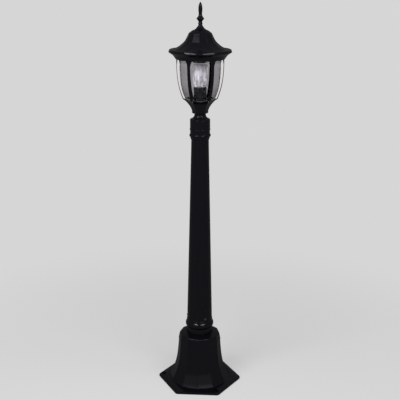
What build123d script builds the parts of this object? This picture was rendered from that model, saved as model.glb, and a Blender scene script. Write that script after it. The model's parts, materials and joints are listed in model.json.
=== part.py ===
from build123d import *
from math import cos, radians, sin
import os

# A garden post lantern: foot and bell, fluted post, and a six-ribbed glass head with a lift-off roof.
# Millimetres. The origin is on the ground under the post's axis, +Z up, -Y the front. Two corners of the
# foot plate point along +X and -X. Outlines are written as (radius, height) pairs.

# Heights of the stacked pieces
foot_thickness = 7.0
foot_rise = 4.0
bell_height = 153.0
shoulder_rise = 4.0
collar_height = 63.0
post_length = 565.0
fitter_height = 66.0
cup_height = 57.0
cage_height = 119.0
roof_height = 83.0
finial_height = 79.0

# Foot plate and bell
foot_corner_radius = 134.0
foot_corner_rounding = 6.0
foot_edge_bevel = 2.0
anchor_inset = 16.0
anchor_hole_radius = 4.5
anchor_seat_radius = 9.0
anchor_count = 3
anchor_first_angle = 60.0
bell_sides = 12
bell_foot_radius = 97.5
bell_waist_radius = 66.3
bell_rim_radius = 63.8
bell_band_height = 19.0
bell_band_step = 0.8
bell_rim_bevel = 3.5
bell_wall = 4.5
bell_crown_thickness = 9.0
bell_ceiling_radius = 50.0
duct_radius = 16.0

# Collar
collar_flange_radius = 42.6
collar_flange_height = 2.5
collar_neck_radius = 40.8
collar_ring_radius = 44.4
collar_ring_height = 18.0
collar_bead_radius = 40.6
collar_lip = 0.3
collar_floor = 15.0
collar_bolt_count = 3
collar_bolt_circle_radius = 26.0
collar_bolt_radius = 3.0
collar_bolt_grip = 9.0
set_screw_radius = 3.0
set_screw_drop = 8.0
set_screw_proud = 1.0
set_screw_count = 3
set_screw_first_angle = 60.0
bolt_head_radius = 5.0
bolt_head_height = 5.0
washer_radius = 6.0
washer_thickness = 1.2

# Post
post_foot_radius = 39.3
post_top_radius = 26.5
post_wall = 6.0
foot_spigot_radius = 33.0
foot_spigot_wall = 4.5
foot_spigot_length = 46.0
top_spigot_radius = 23.4
top_spigot_wall = 3.9
top_spigot_length = 50.0
flute_count = 6
flute_depth = 1.7
flute_foot_radius = 10.0
flute_top_radius = 7.0
flute_end_gap = 14.0

# Fitter on the post's top
fitter_radius = 30.2
fitter_foot_radius = 28.2
fitter_ring_radius = 32.3
fitter_bead_radius = 31.3
fitter_ring_level = 15.0
fitter_waist_level = 24.0
fitter_bead_level = 33.0
fitter_crown = 15.0
fitter_top_radius = 24.5
fitter_top_rounding = 2.0
fitter_screw_radius = 2.5
fitter_screw_level = 42.0
fitter_screw_angles = (30.0, 150.0)

# Hexagonal cup and its neck
cup_rim_radius = 51.0
cup_lip_radius = 24.4
cup_lip_height = 7.0
cup_wall = 3.0
cup_rim_thickness = 3.0
neck_radius = 17.0
neck_length = 15.0
seat_plate_radius = 40.6
seat_plate_thickness = 3.0
nipple_radius = 5.0
nipple_bore = 4.1
nipple_nut_width = 7.5
nipple_nut_height = 4.0
nipple_reach_down = 6.0
nipple_reach_up = 3.5

# Glass and cage
rib_count = 6
rib_width = 9.6
rib_thickness = 1.4
rib_proud = 0.6
bracket_width = 18.7
bracket_height = 15.0
bracket_thickness = 3.7
rib_tab_width = 7.0
rib_tab_length = 6.0
rib_screw_radius = 1.0
rib_screw_head_radius = 1.7
rib_screw_inset = 3.4
rib_screw_depth = 2.4
cage_to_glass = 4.5
cage_ring_wall = 3.1
cage_ring_height = 8.0
cage_flange_thickness = 3.0
cage_flange_cover = 2.5
glass_top_radius = 62.0
glass_foot_radius = 44.0
glass_wall = 3.0
gasket_thickness = 1.5

# Lampholder and lamp
holder_radius = 19.3
holder_height = 33.0
holder_base_height = 10.0
holder_wall = 2.3
holder_mouth_radius = 14.6
holder_core_height = 4.0
shell_bore_radius = 13.15
shell_wall = 0.5
shell_height = 20.0
contact_height = 1.5
lamp_cap_radius = 13.08
lamp_cap_height = 20.0
lamp_cap_wall = 0.5
lamp_glass_radius = 22.6
lamp_glass_wall = 1.0
lamp_glass_height = 75.4
lamp_neck_radius = 12.5
lamp_stem_radius = 3.0
lamp_stem_height = 18.0
lamp_wire_radius = 0.5

# Strap and stud that hold the roof
strap_width = 14.0
strap_thickness = 2.0
strap_rise = 46.0
strap_flat_half = 20.0
strap_foot_inset = 1.5
strap_foot_length = 8.0
strap_screw_inset = 3.0
strap_screw_radius = 1.5
stud_radius = 3.0
stud_nut_width = 5.5
stud_nut_height = 5.0

# Roof
dome_sides = 12
dome_top_radius = 19.5
dome_shoulder_radius = 35.3
dome_shoulder_drop = 12.0
dome_foot_inset = 0.9
dome_foot_level = 31.0
brim_valley_reach = 11.6
brim_valley_level = 25.3
bead_ring_reach = 17.2
bead_radius = 3.9
bead_level = 23.4
skirt_clearance = 0.3
skirt_wall = 2.5
roof_wall = 3.0
roof_ledge_cover = 4.2
roof_ledge_thickness = 2.5
roof_gasket_height = 2.5

# Finial
finial_skirt_radius = 18.0
finial_neck_radius = 5.6
finial_ring_radius = 6.7
finial_cap_height = 24.0
knop_radius = 11.5
knop_level = 31.5
spear_neck_radius = 4.6
spear_neck_level = 45.5
spear_radius = 5.4
spear_widest_level = 59.0
spear_tip_radius = 0.6
finial_insert_radius = 4.3
finial_insert_length = 12.0
finial_pin_radius = 2.0
finial_pin_length = 7.0

# Terminal box and its bracket inside the bell
bracket_sheet = 2.0
bracket_leg_width = 16.0
bracket_drop = 44.0
bracket_screw_rise = 8.0
bracket_margin = 3.0
box_length = 58.0
box_depth = 44.0
box_height = 42.0
box_wall = 2.5
box_drop = 20.0
box_screw_radius = 1.75
lid_boss = 7.0
lid_boss_length = 10.0
terminal_length = 30.0
terminal_depth = 14.0
terminal_height = 16.0
terminal_pitch = 9.0
terminal_well_radius = 2.0
gland_thread_radius = 8.0
gland_hex_width = 11.0
gland_hex_height = 6.0
gland_body_length = 22.0
gland_bore = 5.0
gland_nut_height = 4.0
cable_radius = 3.5
cable_bush_height = 10.0
cable_bush_drop = 20.0
earth_screw_radius = 2.5
earth_washer_radius = 5.2
earth_margin = 0.8
earth_screw_length = 5.0

# Clearances and fits
swivel_clearance = 0.05
slide_clearance = 0.3
seat_gap = 0.1
assembly_clearance = 0.2
thread_clearance = 0.05

# The lantern head stands turned a little on the post, as its screws were tightened, and the roof less so
head_turn = 5.0
roof_turn = 1.0

# Levels worked out from the stack
bell_foot_z = foot_thickness + foot_rise
bell_rim_z = bell_foot_z + bell_height
collar_seat_z = bell_rim_z + shoulder_rise
post_foot_z = collar_seat_z + collar_height
post_top_z = post_foot_z + post_length
fitter_foot_z = post_top_z + seat_gap
fitter_top_z = post_top_z + fitter_height
cup_rim_z = fitter_top_z + cup_height
skirt_z = cup_rim_z + cage_height
dome_top_z = skirt_z + roof_height
finial_foot_z = dome_top_z + seat_gap
tip_z = dome_top_z + finial_height
bell_ceiling_z = collar_seat_z - bell_crown_thickness
glass_foot_z = cup_rim_z + gasket_thickness
cage_ring_top_z = skirt_z + cage_ring_height
cage_flange_z = cage_ring_top_z - cage_flange_thickness
glass_top_z = cage_flange_z - gasket_thickness
holder_top_z = cup_rim_z + holder_height
roof_ledge_z = cage_ring_top_z + roof_gasket_height
box_top_z = bell_ceiling_z - box_drop
box_foot_z = box_top_z - box_height
socket_floor_z = collar_seat_z + collar_floor
set_screw_z = post_foot_z - set_screw_drop
bracket_screw_z = bell_ceiling_z - bracket_drop + bracket_screw_rise
nipple_foot_z = fitter_top_z - fitter_crown - nipple_reach_down
nipple_top_z = cup_rim_z + nipple_reach_up
lamp_foot_z = cup_rim_z + holder_base_height + contact_height + slide_clearance
lamp_shell_z = lamp_foot_z + 1.2
lamp_glass_z = lamp_shell_z + lamp_cap_height
strap_top_z = cage_ring_top_z + strap_rise + strap_thickness
stud_foot_z = strap_top_z - strap_thickness - stud_nut_height - 2.0
stud_top_z = finial_foot_z + finial_insert_length - 1.0

# Radii that follow a neighbour's: the cage goes round the glass, and the roof round the cage
anchor_circle_radius = foot_corner_radius - anchor_inset
collar_bore = foot_spigot_radius + assembly_clearance
collar_lip_radius = post_foot_radius + collar_lip
cage_ring_inner = glass_top_radius + cage_to_glass
cage_ring_radius = cage_ring_inner + cage_ring_wall
cage_flange_inner_radius = glass_top_radius - cage_flange_cover
rib_outer_radius = cage_ring_radius + rib_proud
rib_foot_radius = cup_rim_radius - 0.4
rib_screw_x = rib_foot_radius - rib_screw_inset
strap_foot_radius = cage_ring_inner - strap_foot_inset
strap_bend_radius = strap_foot_radius - strap_foot_length
skirt_bore = cage_ring_radius + skirt_clearance
skirt_radius = skirt_bore + skirt_wall
roof_ledge_radius = cage_ring_radius - roof_ledge_cover
dome_foot_radius = skirt_radius - dome_foot_inset
brim_valley_radius = skirt_radius + brim_valley_reach
bead_ring_radius = skirt_radius + bead_ring_reach
lamp_inside_radius = lamp_cap_radius - lamp_cap_wall - 0.1
bracket_ring_radius = box_length / 2 + bracket_sheet + bracket_margin
earth_screw_offset = bracket_ring_radius + earth_washer_radius + earth_margin


def turned(outline):
    """Solid of revolution about the post's axis."""
    return revolve(Plane.XZ * make_face(outline), Axis.Z)


def turned_points(points):
    """Solid of revolution from a straight-sided outline."""
    return turned(Polyline(*points, close=True))


def ring(inner, outer, low, high):
    """Plain ring or, with no inner radius, a disc."""
    body = Pos(0, 0, low) * Cylinder(outer, high - low, align=(Align.CENTER, Align.CENTER, Align.MIN))
    if inner > 0:
        body -= Pos(0, 0, low) * Cylinder(inner, high - low, align=(Align.CENTER, Align.CENTER, Align.MIN))
    return body


def rod(start, end, radius):
    """Round rod between two points."""
    axis = Vector(*end) - Vector(*start)
    place = Plane(origin=start, z_dir=axis)
    return place * Cylinder(radius, axis.length, align=(Align.CENTER, Align.CENTER, Align.MIN))


def many_sided(sides, half_outline):
    """Flared body with a regular polygon at every level and a corner on the X axis."""
    reach = foot_corner_radius
    outline = half_outline + mirror(half_outline, Plane.YZ)
    slab = extrude(Plane.XZ * make_face(outline), amount=reach, both=True)
    body = slab
    for step in range(1, sides // 2):
        body = body & Rot(0, 0, step * 360 / sides) * slab
    return Rot(0, 0, 180 / sides) * body


def flat_radius(corner_radius, sides):
    """Distance from the axis to the middle of a side."""
    return corner_radius * cos(radians(180 / sides))


def around(shape, count, first=0.0):
    """Copies of a shape at equal steps about the axis."""
    return [Rot(0, 0, first + step * 360 / count) * shape for step in range(count)]


def save(node, *solids):
    """Writes one sub-part: a single solid, or a group of like solids."""
    loose = [solid for shape in solids for solid in shape.solids()]
    shape = loose[0] if len(loose) == 1 else Compound(children=loose)
    export_step(shape, f"parts/{node}.step")


def socket_screw(head_radius, head_height, shank_radius, length):
    """Cap screw standing on its head's underside at the origin, shank down."""
    head = Cylinder(head_radius, head_height, align=(Align.CENTER, Align.CENTER, Align.MIN))
    socket = Pos(0, 0, head_height / 2) * extrude(RegularPolygon(head_radius * 0.5, 6), head_height)
    shank = Cylinder(shank_radius, length, align=(Align.CENTER, Align.CENTER, Align.MAX))
    return head - socket + shank


def grub_screw(radius, length):
    """Headless screw along +X from the origin, with its socket at the outer end."""
    body = Rot(0, 90, 0) * Cylinder(radius, length, align=(Align.CENTER, Align.CENTER, Align.MIN))
    socket_depth = length * 0.4
    socket = Plane.YZ * extrude(RegularPolygon(radius * 0.55, 6), socket_depth)
    return body - Pos(length - socket_depth, 0, 0) * socket


def hex_nut(width, bore, low, height):
    """Nut about the axis; width is from the axis to a corner."""
    nut = extrude(RegularPolygon(width, 6), height) - ring(0, bore, 0, height)
    return Pos(0, 0, low) * nut


# Foot, bell and collar

def bell_side(wall=0.0):
    """The bell's flared side, from its foot up to the band, as a curve; wall moves it inwards."""
    height = bell_height - bell_band_height - bell_rim_bevel
    flare = bell_foot_radius - bell_waist_radius
    steps = ((0.0, 1.0), (0.11, 0.78), (0.25, 0.51), (0.39, 0.31), (0.59, 0.155), (0.83, 0.05), (1.0, 0.0))
    points = [
        (flat_radius(bell_waist_radius + flare * share, bell_sides) - wall, bell_foot_z + height * up)
        for up, share in steps
    ]
    return Spline(*points)


def make_base_casting():
    """Foot plate and hollow bell in one casting, open underneath."""
    def plate_face(level, inset, rounding):
        outline = RegularPolygon(foot_corner_radius - inset, 6)
        return Pos(0, 0, level) * fillet(outline.vertices(), rounding)

    rise_inset = foot_corner_radius - (bell_foot_radius + 0.5) / cos(radians(30))
    plate = loft([plate_face(0, 0, foot_corner_rounding),
                  plate_face(foot_thickness - foot_edge_bevel, 0, foot_corner_rounding)], ruled=True)
    plate += loft([plate_face(foot_thickness - foot_edge_bevel, 0, foot_corner_rounding),
                   plate_face(foot_thickness, foot_edge_bevel, foot_corner_rounding)], ruled=True)
    plate += loft([plate_face(foot_thickness, foot_edge_bevel, foot_corner_rounding),
                   plate_face(bell_foot_z, rise_inset, foot_corner_rounding)], ruled=True)

    side = bell_side()
    waist = side @ 1
    band_radius = flat_radius(bell_rim_radius, bell_sides)
    crown_radius = collar_flange_radius
    half = side + Polyline(
        waist, (waist.X + bell_band_step, waist.Y), (band_radius, bell_rim_z - bell_rim_bevel),
        (band_radius - bell_rim_bevel, bell_rim_z), (crown_radius, collar_seat_z), (0, collar_seat_z))
    half += Polyline(side @ 0, (0, bell_foot_z))
    bell = many_sided(bell_sides, half)

    inner_side = bell_side(bell_wall)
    inner_waist = inner_side @ 1
    inner_foot = inner_side @ 0
    cavity_outline = inner_side + Polyline(
        inner_waist, (band_radius - bell_rim_bevel - bell_wall, bell_ceiling_z - bell_wall),
        (bell_ceiling_radius, bell_ceiling_z), (0, bell_ceiling_z), (0, 0), (inner_foot.X, 0), inner_foot)
    body = plate + bell - turned(cavity_outline)
    body -= ring(0, duct_radius, bell_ceiling_z, collar_seat_z)
    anchor_hole = Pos(anchor_circle_radius, 0, 0) * ring(0, anchor_hole_radius, 0, bell_foot_z)
    for hole in around(anchor_hole, anchor_count, anchor_first_angle):
        body -= hole
    seat = Pos(anchor_circle_radius, 0, 0) * ring(0, anchor_seat_radius, foot_thickness, bell_foot_z)
    for cut in around(seat, anchor_count, anchor_first_angle):
        body -= cut
    bolt_hole = Pos(collar_bolt_circle_radius, 0, 0) * ring(
        0, collar_bolt_radius + assembly_clearance, bell_ceiling_z, collar_seat_z)
    for hole in around(bolt_hole, collar_bolt_count):
        body -= hole
    earth_hole = Pos(0, -earth_screw_offset, 0) * ring(
        0, earth_screw_radius, bell_ceiling_z, bell_ceiling_z + earth_screw_length)
    return body - earth_hole


def make_base_collar():
    """Turned collar: a flange, a waist, one bold ring, a fine bead and a tapered lip."""
    ring_z = collar_seat_z + collar_height * 0.48
    ring_low = ring_z - collar_ring_height / 2
    ring_high = ring_z + collar_ring_height / 2
    bead_z = ring_high + 6.5
    outline = Polyline(
        (duct_radius, collar_seat_z), (collar_flange_radius, collar_seat_z),
        (collar_flange_radius, collar_seat_z + collar_flange_height),
        (collar_neck_radius, collar_seat_z + collar_flange_height + 1.5), (collar_neck_radius, ring_low))
    bead_foot = collar_bead_radius - 0.7
    outline += ThreePointArc((collar_neck_radius, ring_low), (collar_ring_radius, ring_z),
                             (collar_neck_radius, ring_high))
    outline += Line((collar_neck_radius, ring_high), (bead_foot, bead_z - 2.5))
    outline += ThreePointArc((bead_foot, bead_z - 2.5), (collar_bead_radius, bead_z),
                             (bead_foot, bead_z + 2.5))
    outline += Polyline(
        (bead_foot, bead_z + 2.5), (collar_lip_radius, post_foot_z),
        (collar_bore, post_foot_z),
        (collar_bore, socket_floor_z), (duct_radius, socket_floor_z), (duct_radius, collar_seat_z))
    body = turned(outline)
    bolt_hole = Pos(collar_bolt_circle_radius, 0, 0) * ring(
        0, collar_bolt_radius + thread_clearance, collar_seat_z, collar_seat_z + collar_bolt_grip)
    for hole in around(bolt_hole, collar_bolt_count):
        body -= hole
    tap = rod((foot_spigot_radius - 1, 0, set_screw_z), (collar_ring_radius + 2, 0, set_screw_z),
              set_screw_radius + thread_clearance)
    for hole in around(tap, set_screw_count, set_screw_first_angle):
        body -= hole
    return body


def make_collar_set_screws():
    """Three grub screws through the collar onto the post's spigot."""
    start = foot_spigot_radius + seat_gap
    length = collar_lip_radius + set_screw_proud - start
    screw = Pos(start, 0, set_screw_z) * grub_screw(set_screw_radius, length)
    return around(screw, set_screw_count, set_screw_first_angle)


def make_collar_bolts():
    """Bolts from inside the bell through bracket and crown into the collar's floor."""
    head_z = bell_ceiling_z - bracket_sheet - washer_thickness
    length = collar_seat_z + collar_bolt_grip - 0.5 - head_z
    screw = Rot(180, 0, 0) * socket_screw(bolt_head_radius, bolt_head_height, collar_bolt_radius, length)
    return around(Pos(collar_bolt_circle_radius, 0, head_z) * screw, collar_bolt_count)


def make_collar_washers():
    """Washers between the bolt heads and the bracket."""
    low = bell_ceiling_z - bracket_sheet - washer_thickness
    washer = ring(collar_bolt_radius + thread_clearance, washer_radius, low, low + washer_thickness)
    return around(Pos(collar_bolt_circle_radius, 0, 0) * washer, collar_bolt_count)


# Post

def make_post_tube():
    """Tapered tube with a spigot at each end and shallow flutes with round ends."""
    foot_bore = foot_spigot_radius - foot_spigot_wall
    top_bore = top_spigot_radius - top_spigot_wall
    foot_end_z = post_foot_z - foot_spigot_length
    top_end_z = post_top_z + top_spigot_length
    blend = 12.0
    outer = turned_points([
        (0, foot_end_z), (foot_spigot_radius, foot_end_z), (foot_spigot_radius, post_foot_z + seat_gap),
        (post_foot_radius, post_foot_z + seat_gap), (post_top_radius, post_top_z),
        (top_spigot_radius, post_top_z),
        (top_spigot_radius, top_end_z), (0, top_end_z)])
    bore = turned_points([
        (0, foot_end_z), (foot_bore, foot_end_z), (foot_bore, post_foot_z),
        (post_foot_radius - post_wall, post_foot_z + blend),
        (post_top_radius - post_wall, post_top_z - blend),
        (top_bore, post_top_z), (top_bore, top_end_z), (0, top_end_z)])
    body = outer - bore
    for cutter in around(make_flute_cutter(), flute_count):
        body -= cutter
    return body


def make_flute_cutter():
    """Tapered round-ended rod that lies along the post's slope over the +X side."""
    slope = (post_foot_radius - post_top_radius) / post_length
    low_z = post_foot_z + flute_end_gap + flute_foot_radius
    high_z = post_top_z - flute_end_gap - flute_top_radius * 0.4
    low = (post_foot_radius - slope * (low_z - post_foot_z) + flute_foot_radius - flute_depth, 0, low_z)
    high = (post_foot_radius - slope * (high_z - post_foot_z) + flute_top_radius - flute_depth, 0, high_z)
    axis = Vector(*high) - Vector(*low)
    length = axis.length
    outline = Polyline((0, -flute_foot_radius), (0, length + flute_top_radius))
    outline += ThreePointArc((0, -flute_foot_radius),
                             (flute_foot_radius * cos(radians(45)), -flute_foot_radius * sin(radians(45))),
                             (flute_foot_radius, 0))
    outline += Line((flute_foot_radius, 0), (flute_top_radius, length))
    reach = flute_top_radius * cos(radians(45))
    outline += ThreePointArc((flute_top_radius, length), (reach, length + reach),
                             (0, length + flute_top_radius))
    return Plane(origin=low, z_dir=axis) * turned(outline)


def make_cable_bush():
    """Rubber bush that centres the flex in the post's top."""
    top_bore = top_spigot_radius - top_spigot_wall
    low = post_top_z + top_spigot_length - cable_bush_drop
    return ring(cable_radius + thread_clearance, top_bore - thread_clearance, low, low + cable_bush_height)


def make_inner_cable():
    """Three-core flex, straight up the axis from the terminal box to the lampholder."""
    return ring(0, cable_radius, box_top_z - 8.0, nipple_top_z - seat_gap)


# Terminal box inside the bell

def make_box_bracket():
    """Sheet bracket under the crown: a ring with two legs down the box's ends."""
    top = bell_ceiling_z
    body = ring(duct_radius, bracket_ring_radius, top - bracket_sheet, top)
    hole = Pos(collar_bolt_circle_radius, 0, 0) * ring(
        0, collar_bolt_radius + assembly_clearance, top - bracket_sheet, top)
    for cut in around(hole, collar_bolt_count):
        body -= cut
    leg_y = box_length / 2
    for side in (-1, 1):
        leg = Pos(0, side * (leg_y + bracket_sheet / 2), top - bracket_drop / 2) * Box(
            bracket_leg_width, bracket_sheet, bracket_drop)
        screw_hole = rod((0, side * (leg_y - 1), bracket_screw_z), (0, side * (leg_y + bracket_sheet + 1),
                         bracket_screw_z), box_screw_radius + assembly_clearance)
        body = body + leg - screw_hole
    return body


def make_bracket_screws():
    """Screws through the legs into the box's ends."""
    screw = socket_screw(3.2, 2.5, box_screw_radius, bracket_sheet + box_wall)
    start = box_length / 2 + bracket_sheet
    return [
        Pos(0, start, bracket_screw_z) * Rot(-90, 0, 0) * screw,
        Pos(0, -start, bracket_screw_z) * Rot(90, 0, 0) * screw,
    ]


def make_terminal_box():
    """Box open towards +X, with a hole for the flex on top and for the gland below."""
    centre_z = box_foot_z + box_height / 2
    body = Pos(0, 0, centre_z) * Box(box_depth, box_length, box_height)
    body -= Pos(box_wall, 0, centre_z) * Box(box_depth, box_length - 2 * box_wall, box_height - 2 * box_wall)
    body -= ring(0, cable_radius + assembly_clearance, box_top_z - box_wall, box_top_z)
    body -= ring(0, gland_thread_radius + assembly_clearance, box_foot_z, box_foot_z + box_wall)
    for side in (-1, 1):
        body -= rod((0, side * (box_length / 2 - box_wall - 1), bracket_screw_z),
                    (0, side * (box_length / 2 + 1), bracket_screw_z), box_screw_radius + thread_clearance)
    for y, z in lid_screw_places():
        body += Pos((box_depth - lid_boss_length) / 2, y, z) * Box(lid_boss_length, lid_boss, lid_boss)
        body -= rod((box_depth / 2 - lid_boss_length, y, z), (box_depth / 2 + 1, y, z),
                    box_screw_radius + thread_clearance)
    return body


def lid_screw_places():
    """Two opposite corners of the box's mouth."""
    y = box_length / 2 - box_wall - lid_boss / 2 + 0.5
    z = box_height / 2 - box_wall - lid_boss / 2 + 0.5
    middle = box_foot_z + box_height / 2
    return [(y, middle + z), (-y, middle - z)]


def make_terminal_box_lid():
    """Flat lid with a locating rib."""
    centre_z = box_foot_z + box_height / 2
    body = Pos(box_depth / 2 + box_wall / 2, 0, centre_z) * Box(box_wall, box_length, box_height)
    for y, z in lid_screw_places():
        body -= rod((box_depth / 2 - 1, y, z), (box_depth / 2 + box_wall + 1, y, z),
                    box_screw_radius + assembly_clearance)
    return body


def make_box_screws():
    """Screws that hold the lid."""
    screw = Rot(0, 90, 0) * socket_screw(3.0, 2.0, box_screw_radius, box_wall + lid_boss_length - 2.0)
    return [Pos(box_depth / 2 + box_wall, y, z) * screw for y, z in lid_screw_places()]


def make_terminal_block():
    """Three-way block on the box's back wall."""
    back = -box_depth / 2 + box_wall
    middle = box_foot_z + box_height / 2
    body = Pos(back + terminal_depth / 2, 0, middle) * Box(terminal_depth, terminal_length, terminal_height)
    for y in terminal_places():
        for side in (-1, 1):
            z = middle + side * terminal_height / 4
            body -= rod((back + terminal_depth / 2, y, z), (back + terminal_depth + 1, y, z),
                        terminal_well_radius)
    return body


def terminal_places():
    return [-terminal_pitch, 0.0, terminal_pitch]


def make_terminal_screws():
    """Six clamping screws in the block's wells."""
    back = -box_depth / 2 + box_wall
    middle = box_foot_z + box_height / 2
    screws = []
    for y in terminal_places():
        for side in (-1, 1):
            z = middle + side * terminal_height / 4
            start = back + terminal_depth / 2
            end = start + terminal_depth / 2 - 1.0
            screws.append(rod((start, y, z), (end, y, z), terminal_well_radius - thread_clearance))
    return screws


def make_supply_gland():
    """Cable gland through the box's floor, bored for the supply cable."""
    low = box_foot_z - gland_body_length
    hexagon = extrude(RegularPolygon(gland_hex_width, 6), gland_hex_height)
    body = Pos(0, 0, box_foot_z - gland_hex_height) * hexagon
    body += ring(0, gland_hex_width - 2.0, low, box_foot_z - gland_hex_height)
    body += ring(0, gland_thread_radius, box_foot_z, box_foot_z + box_wall + gland_nut_height + 1.0)
    return body - ring(0, gland_bore, low, box_foot_z + box_wall + gland_nut_height + 1.0)


def make_gland_nut():
    """Lock nut inside the box."""
    bore = gland_thread_radius + thread_clearance
    return hex_nut(gland_hex_width, bore, box_foot_z + box_wall, gland_nut_height)


def make_earth_screw():
    """Protective earth screw up into the crown."""
    head_z = bell_ceiling_z - washer_thickness
    screw = Rot(180, 0, 0) * socket_screw(4.2, 3.0, earth_screw_radius - thread_clearance,
                                          earth_screw_length + washer_thickness - 0.5)
    return Pos(0, -earth_screw_offset, head_z) * screw


def make_earth_washer():
    """Washer under the earth screw's head."""
    bore = earth_screw_radius + thread_clearance
    washer = ring(bore, earth_washer_radius, bell_ceiling_z - washer_thickness, bell_ceiling_z)
    return Pos(0, -earth_screw_offset, 0) * washer


# Fitter, cup and neck

def make_fitter():
    """Sleeve on the post's spigot: foot taper, ring, waist, bead, cylinder and rounded top."""
    foot, top = fitter_foot_z, fitter_top_z
    ring_z = foot + fitter_ring_level
    waist_z = foot + fitter_waist_level
    bead_z = foot + fitter_bead_level
    bore = top_spigot_radius + swivel_clearance
    waist_radius = fitter_radius - 0.9
    ceiling_z = top - fitter_crown
    outline = Polyline((bore, foot), (fitter_foot_radius - 1.4, foot), (fitter_foot_radius, foot + 2.0),
                       (fitter_foot_radius + 0.4, foot + 4.5), (fitter_foot_radius + 2.2, ring_z - 4.5))
    outline += ThreePointArc((fitter_foot_radius + 2.2, ring_z - 4.5), (fitter_ring_radius, ring_z),
                             (waist_radius + 0.3, ring_z + 5.0))
    outline += Line((waist_radius + 0.3, ring_z + 5.0), (waist_radius, waist_z))
    outline += Line((waist_radius, waist_z), (fitter_radius, bead_z - 2.0))
    outline += ThreePointArc((fitter_radius, bead_z - 2.0), (fitter_bead_radius, bead_z),
                             (fitter_radius, bead_z + 2.0))
    outline += Line((fitter_radius, bead_z + 2.0), (fitter_radius, top - 2.0 - fitter_top_rounding))
    outline += ThreePointArc(
        (fitter_radius, top - 2.0 - fitter_top_rounding),
        (fitter_radius - 0.3 * fitter_top_rounding, top - 2.0 - 0.3 * fitter_top_rounding),
        (fitter_radius - fitter_top_rounding, top - 2.0))
    outline += Polyline((fitter_radius - fitter_top_rounding, top - 2.0), (fitter_top_radius, top),
                        (nipple_radius + thread_clearance, top),
                        (nipple_radius + thread_clearance, ceiling_z), (bore, ceiling_z), (bore, foot))
    body = turned(outline)
    z = foot + fitter_screw_level
    for angle in fitter_screw_angles:
        body -= Rot(0, 0, angle) * rod((bore - 1, 0, z), (fitter_ring_radius + 2, 0, z),
                                       fitter_screw_radius + thread_clearance)
    return body


def make_fitter_set_screws():
    """Two grub screws at the back that lock the head on the post."""
    start = top_spigot_radius + seat_gap
    length = fitter_radius - 0.2 - start
    z = fitter_foot_z + fitter_screw_level
    screw = Pos(start, 0, z) * grub_screw(fitter_screw_radius, length)
    return [Rot(0, 0, angle) * screw for angle in fitter_screw_angles]


def make_lantern_cup():
    """Hexagonal trumpet on a round flared neck, hollow above, tapped at its corners for the ribs."""
    lip_z = fitter_top_z + neck_length
    span = cup_rim_z - cup_rim_thickness - lip_z - cup_lip_height
    steps = ((0.0, 0.0), (0.18, 0.06), (0.36, 0.19), (0.54, 0.37), (0.73, 0.57), (0.91, 0.775), (1.0, 0.915))
    flare = cup_rim_radius - cup_lip_radius
    points = [
        (flat_radius(cup_lip_radius + flare * share, 6), lip_z + cup_lip_height + span * up)
        for up, share in steps
    ]
    side = Spline(*points)
    rim_flat = flat_radius(cup_rim_radius, 6)
    lip_flat = flat_radius(cup_lip_radius, 6)
    half = side + Polyline(side @ 1, (rim_flat, cup_rim_z - cup_rim_thickness * 0.6), (rim_flat, cup_rim_z),
                           (0, cup_rim_z))
    half += Polyline(side @ 0, (lip_flat, lip_z + 2.0), (lip_flat - 1.8, lip_z), (0, lip_z))
    cup = many_sided(6, half)
    neck_outline = Polyline((0, fitter_top_z), (fitter_top_radius - 0.8, fitter_top_z),
                            (fitter_top_radius - 1.4, fitter_top_z + 1.0))
    neck_outline += ThreePointArc((fitter_top_radius - 1.4, fitter_top_z + 1.0),
                                  (neck_radius + 1.9, fitter_top_z + 4.6), (neck_radius, fitter_top_z + 9.5))
    neck_outline += Polyline((neck_radius, fitter_top_z + 9.5), (neck_radius, lip_z), (0, lip_z),
                             (0, fitter_top_z))
    body = cup + turned(neck_outline)
    floor_z = lip_z + cup_lip_height * 0.6
    cavity = [(0, floor_z), (points[0][0] - cup_wall, floor_z)]
    cavity += [(radius - cup_wall, z) for radius, z in points[:6]]
    plate_low = cup_rim_z - seat_plate_thickness
    ledge = points[5][0] - cup_wall
    cavity += [(ledge, plate_low), (seat_plate_radius + assembly_clearance, plate_low),
               (seat_plate_radius + assembly_clearance, cup_rim_z), (0, cup_rim_z)]
    body -= turned_points(cavity)
    body -= ring(0, nipple_radius + thread_clearance, fitter_top_z, floor_z)
    tap = Pos(rib_screw_x, 0, 0) * ring(
        0, rib_screw_radius + thread_clearance, cup_rim_z - rib_screw_depth, cup_rim_z)
    for hole in around(tap, rib_count):
        body -= hole
    return body


def make_threaded_nipple():
    """Hollow threaded tube that clamps fitter, cup and lampholder."""
    return ring(nipple_bore, nipple_radius, nipple_foot_z, nipple_top_z)


def make_nipple_nuts():
    """Nuts under the fitter's crown and on the cup's floor."""
    floor_z = fitter_top_z + neck_length + cup_lip_height * 0.6
    bore = nipple_radius + thread_clearance
    return [
        hex_nut(nipple_nut_width, bore, fitter_top_z - fitter_crown - nipple_nut_height, nipple_nut_height),
        hex_nut(nipple_nut_width, bore, floor_z, nipple_nut_height),
    ]


def make_seat_plate():
    """Disc that closes the cup and carries glass and lampholder."""
    low = cup_rim_z - seat_plate_thickness
    return ring(nipple_radius + thread_clearance, seat_plate_radius, low, cup_rim_z)


# Cage and glass

def rib_radius_at(level):
    """Outer radius of a rib at a height: straight at the top, then curving in to the cup's corner."""
    drop = (skirt_z - level) / cage_height
    return rib_foot_radius + (rib_outer_radius - rib_foot_radius) * (1 - drop ** 2.7)


def make_rib_screws():
    """Small screws through the ribs' foot tabs into the cup's corners."""
    screw = socket_screw(rib_screw_head_radius, 1.2, rib_screw_radius, rib_thickness + rib_screw_depth - 0.2)
    return around(Pos(rib_screw_x, 0, cup_rim_z + rib_thickness) * screw, rib_count)


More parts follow.
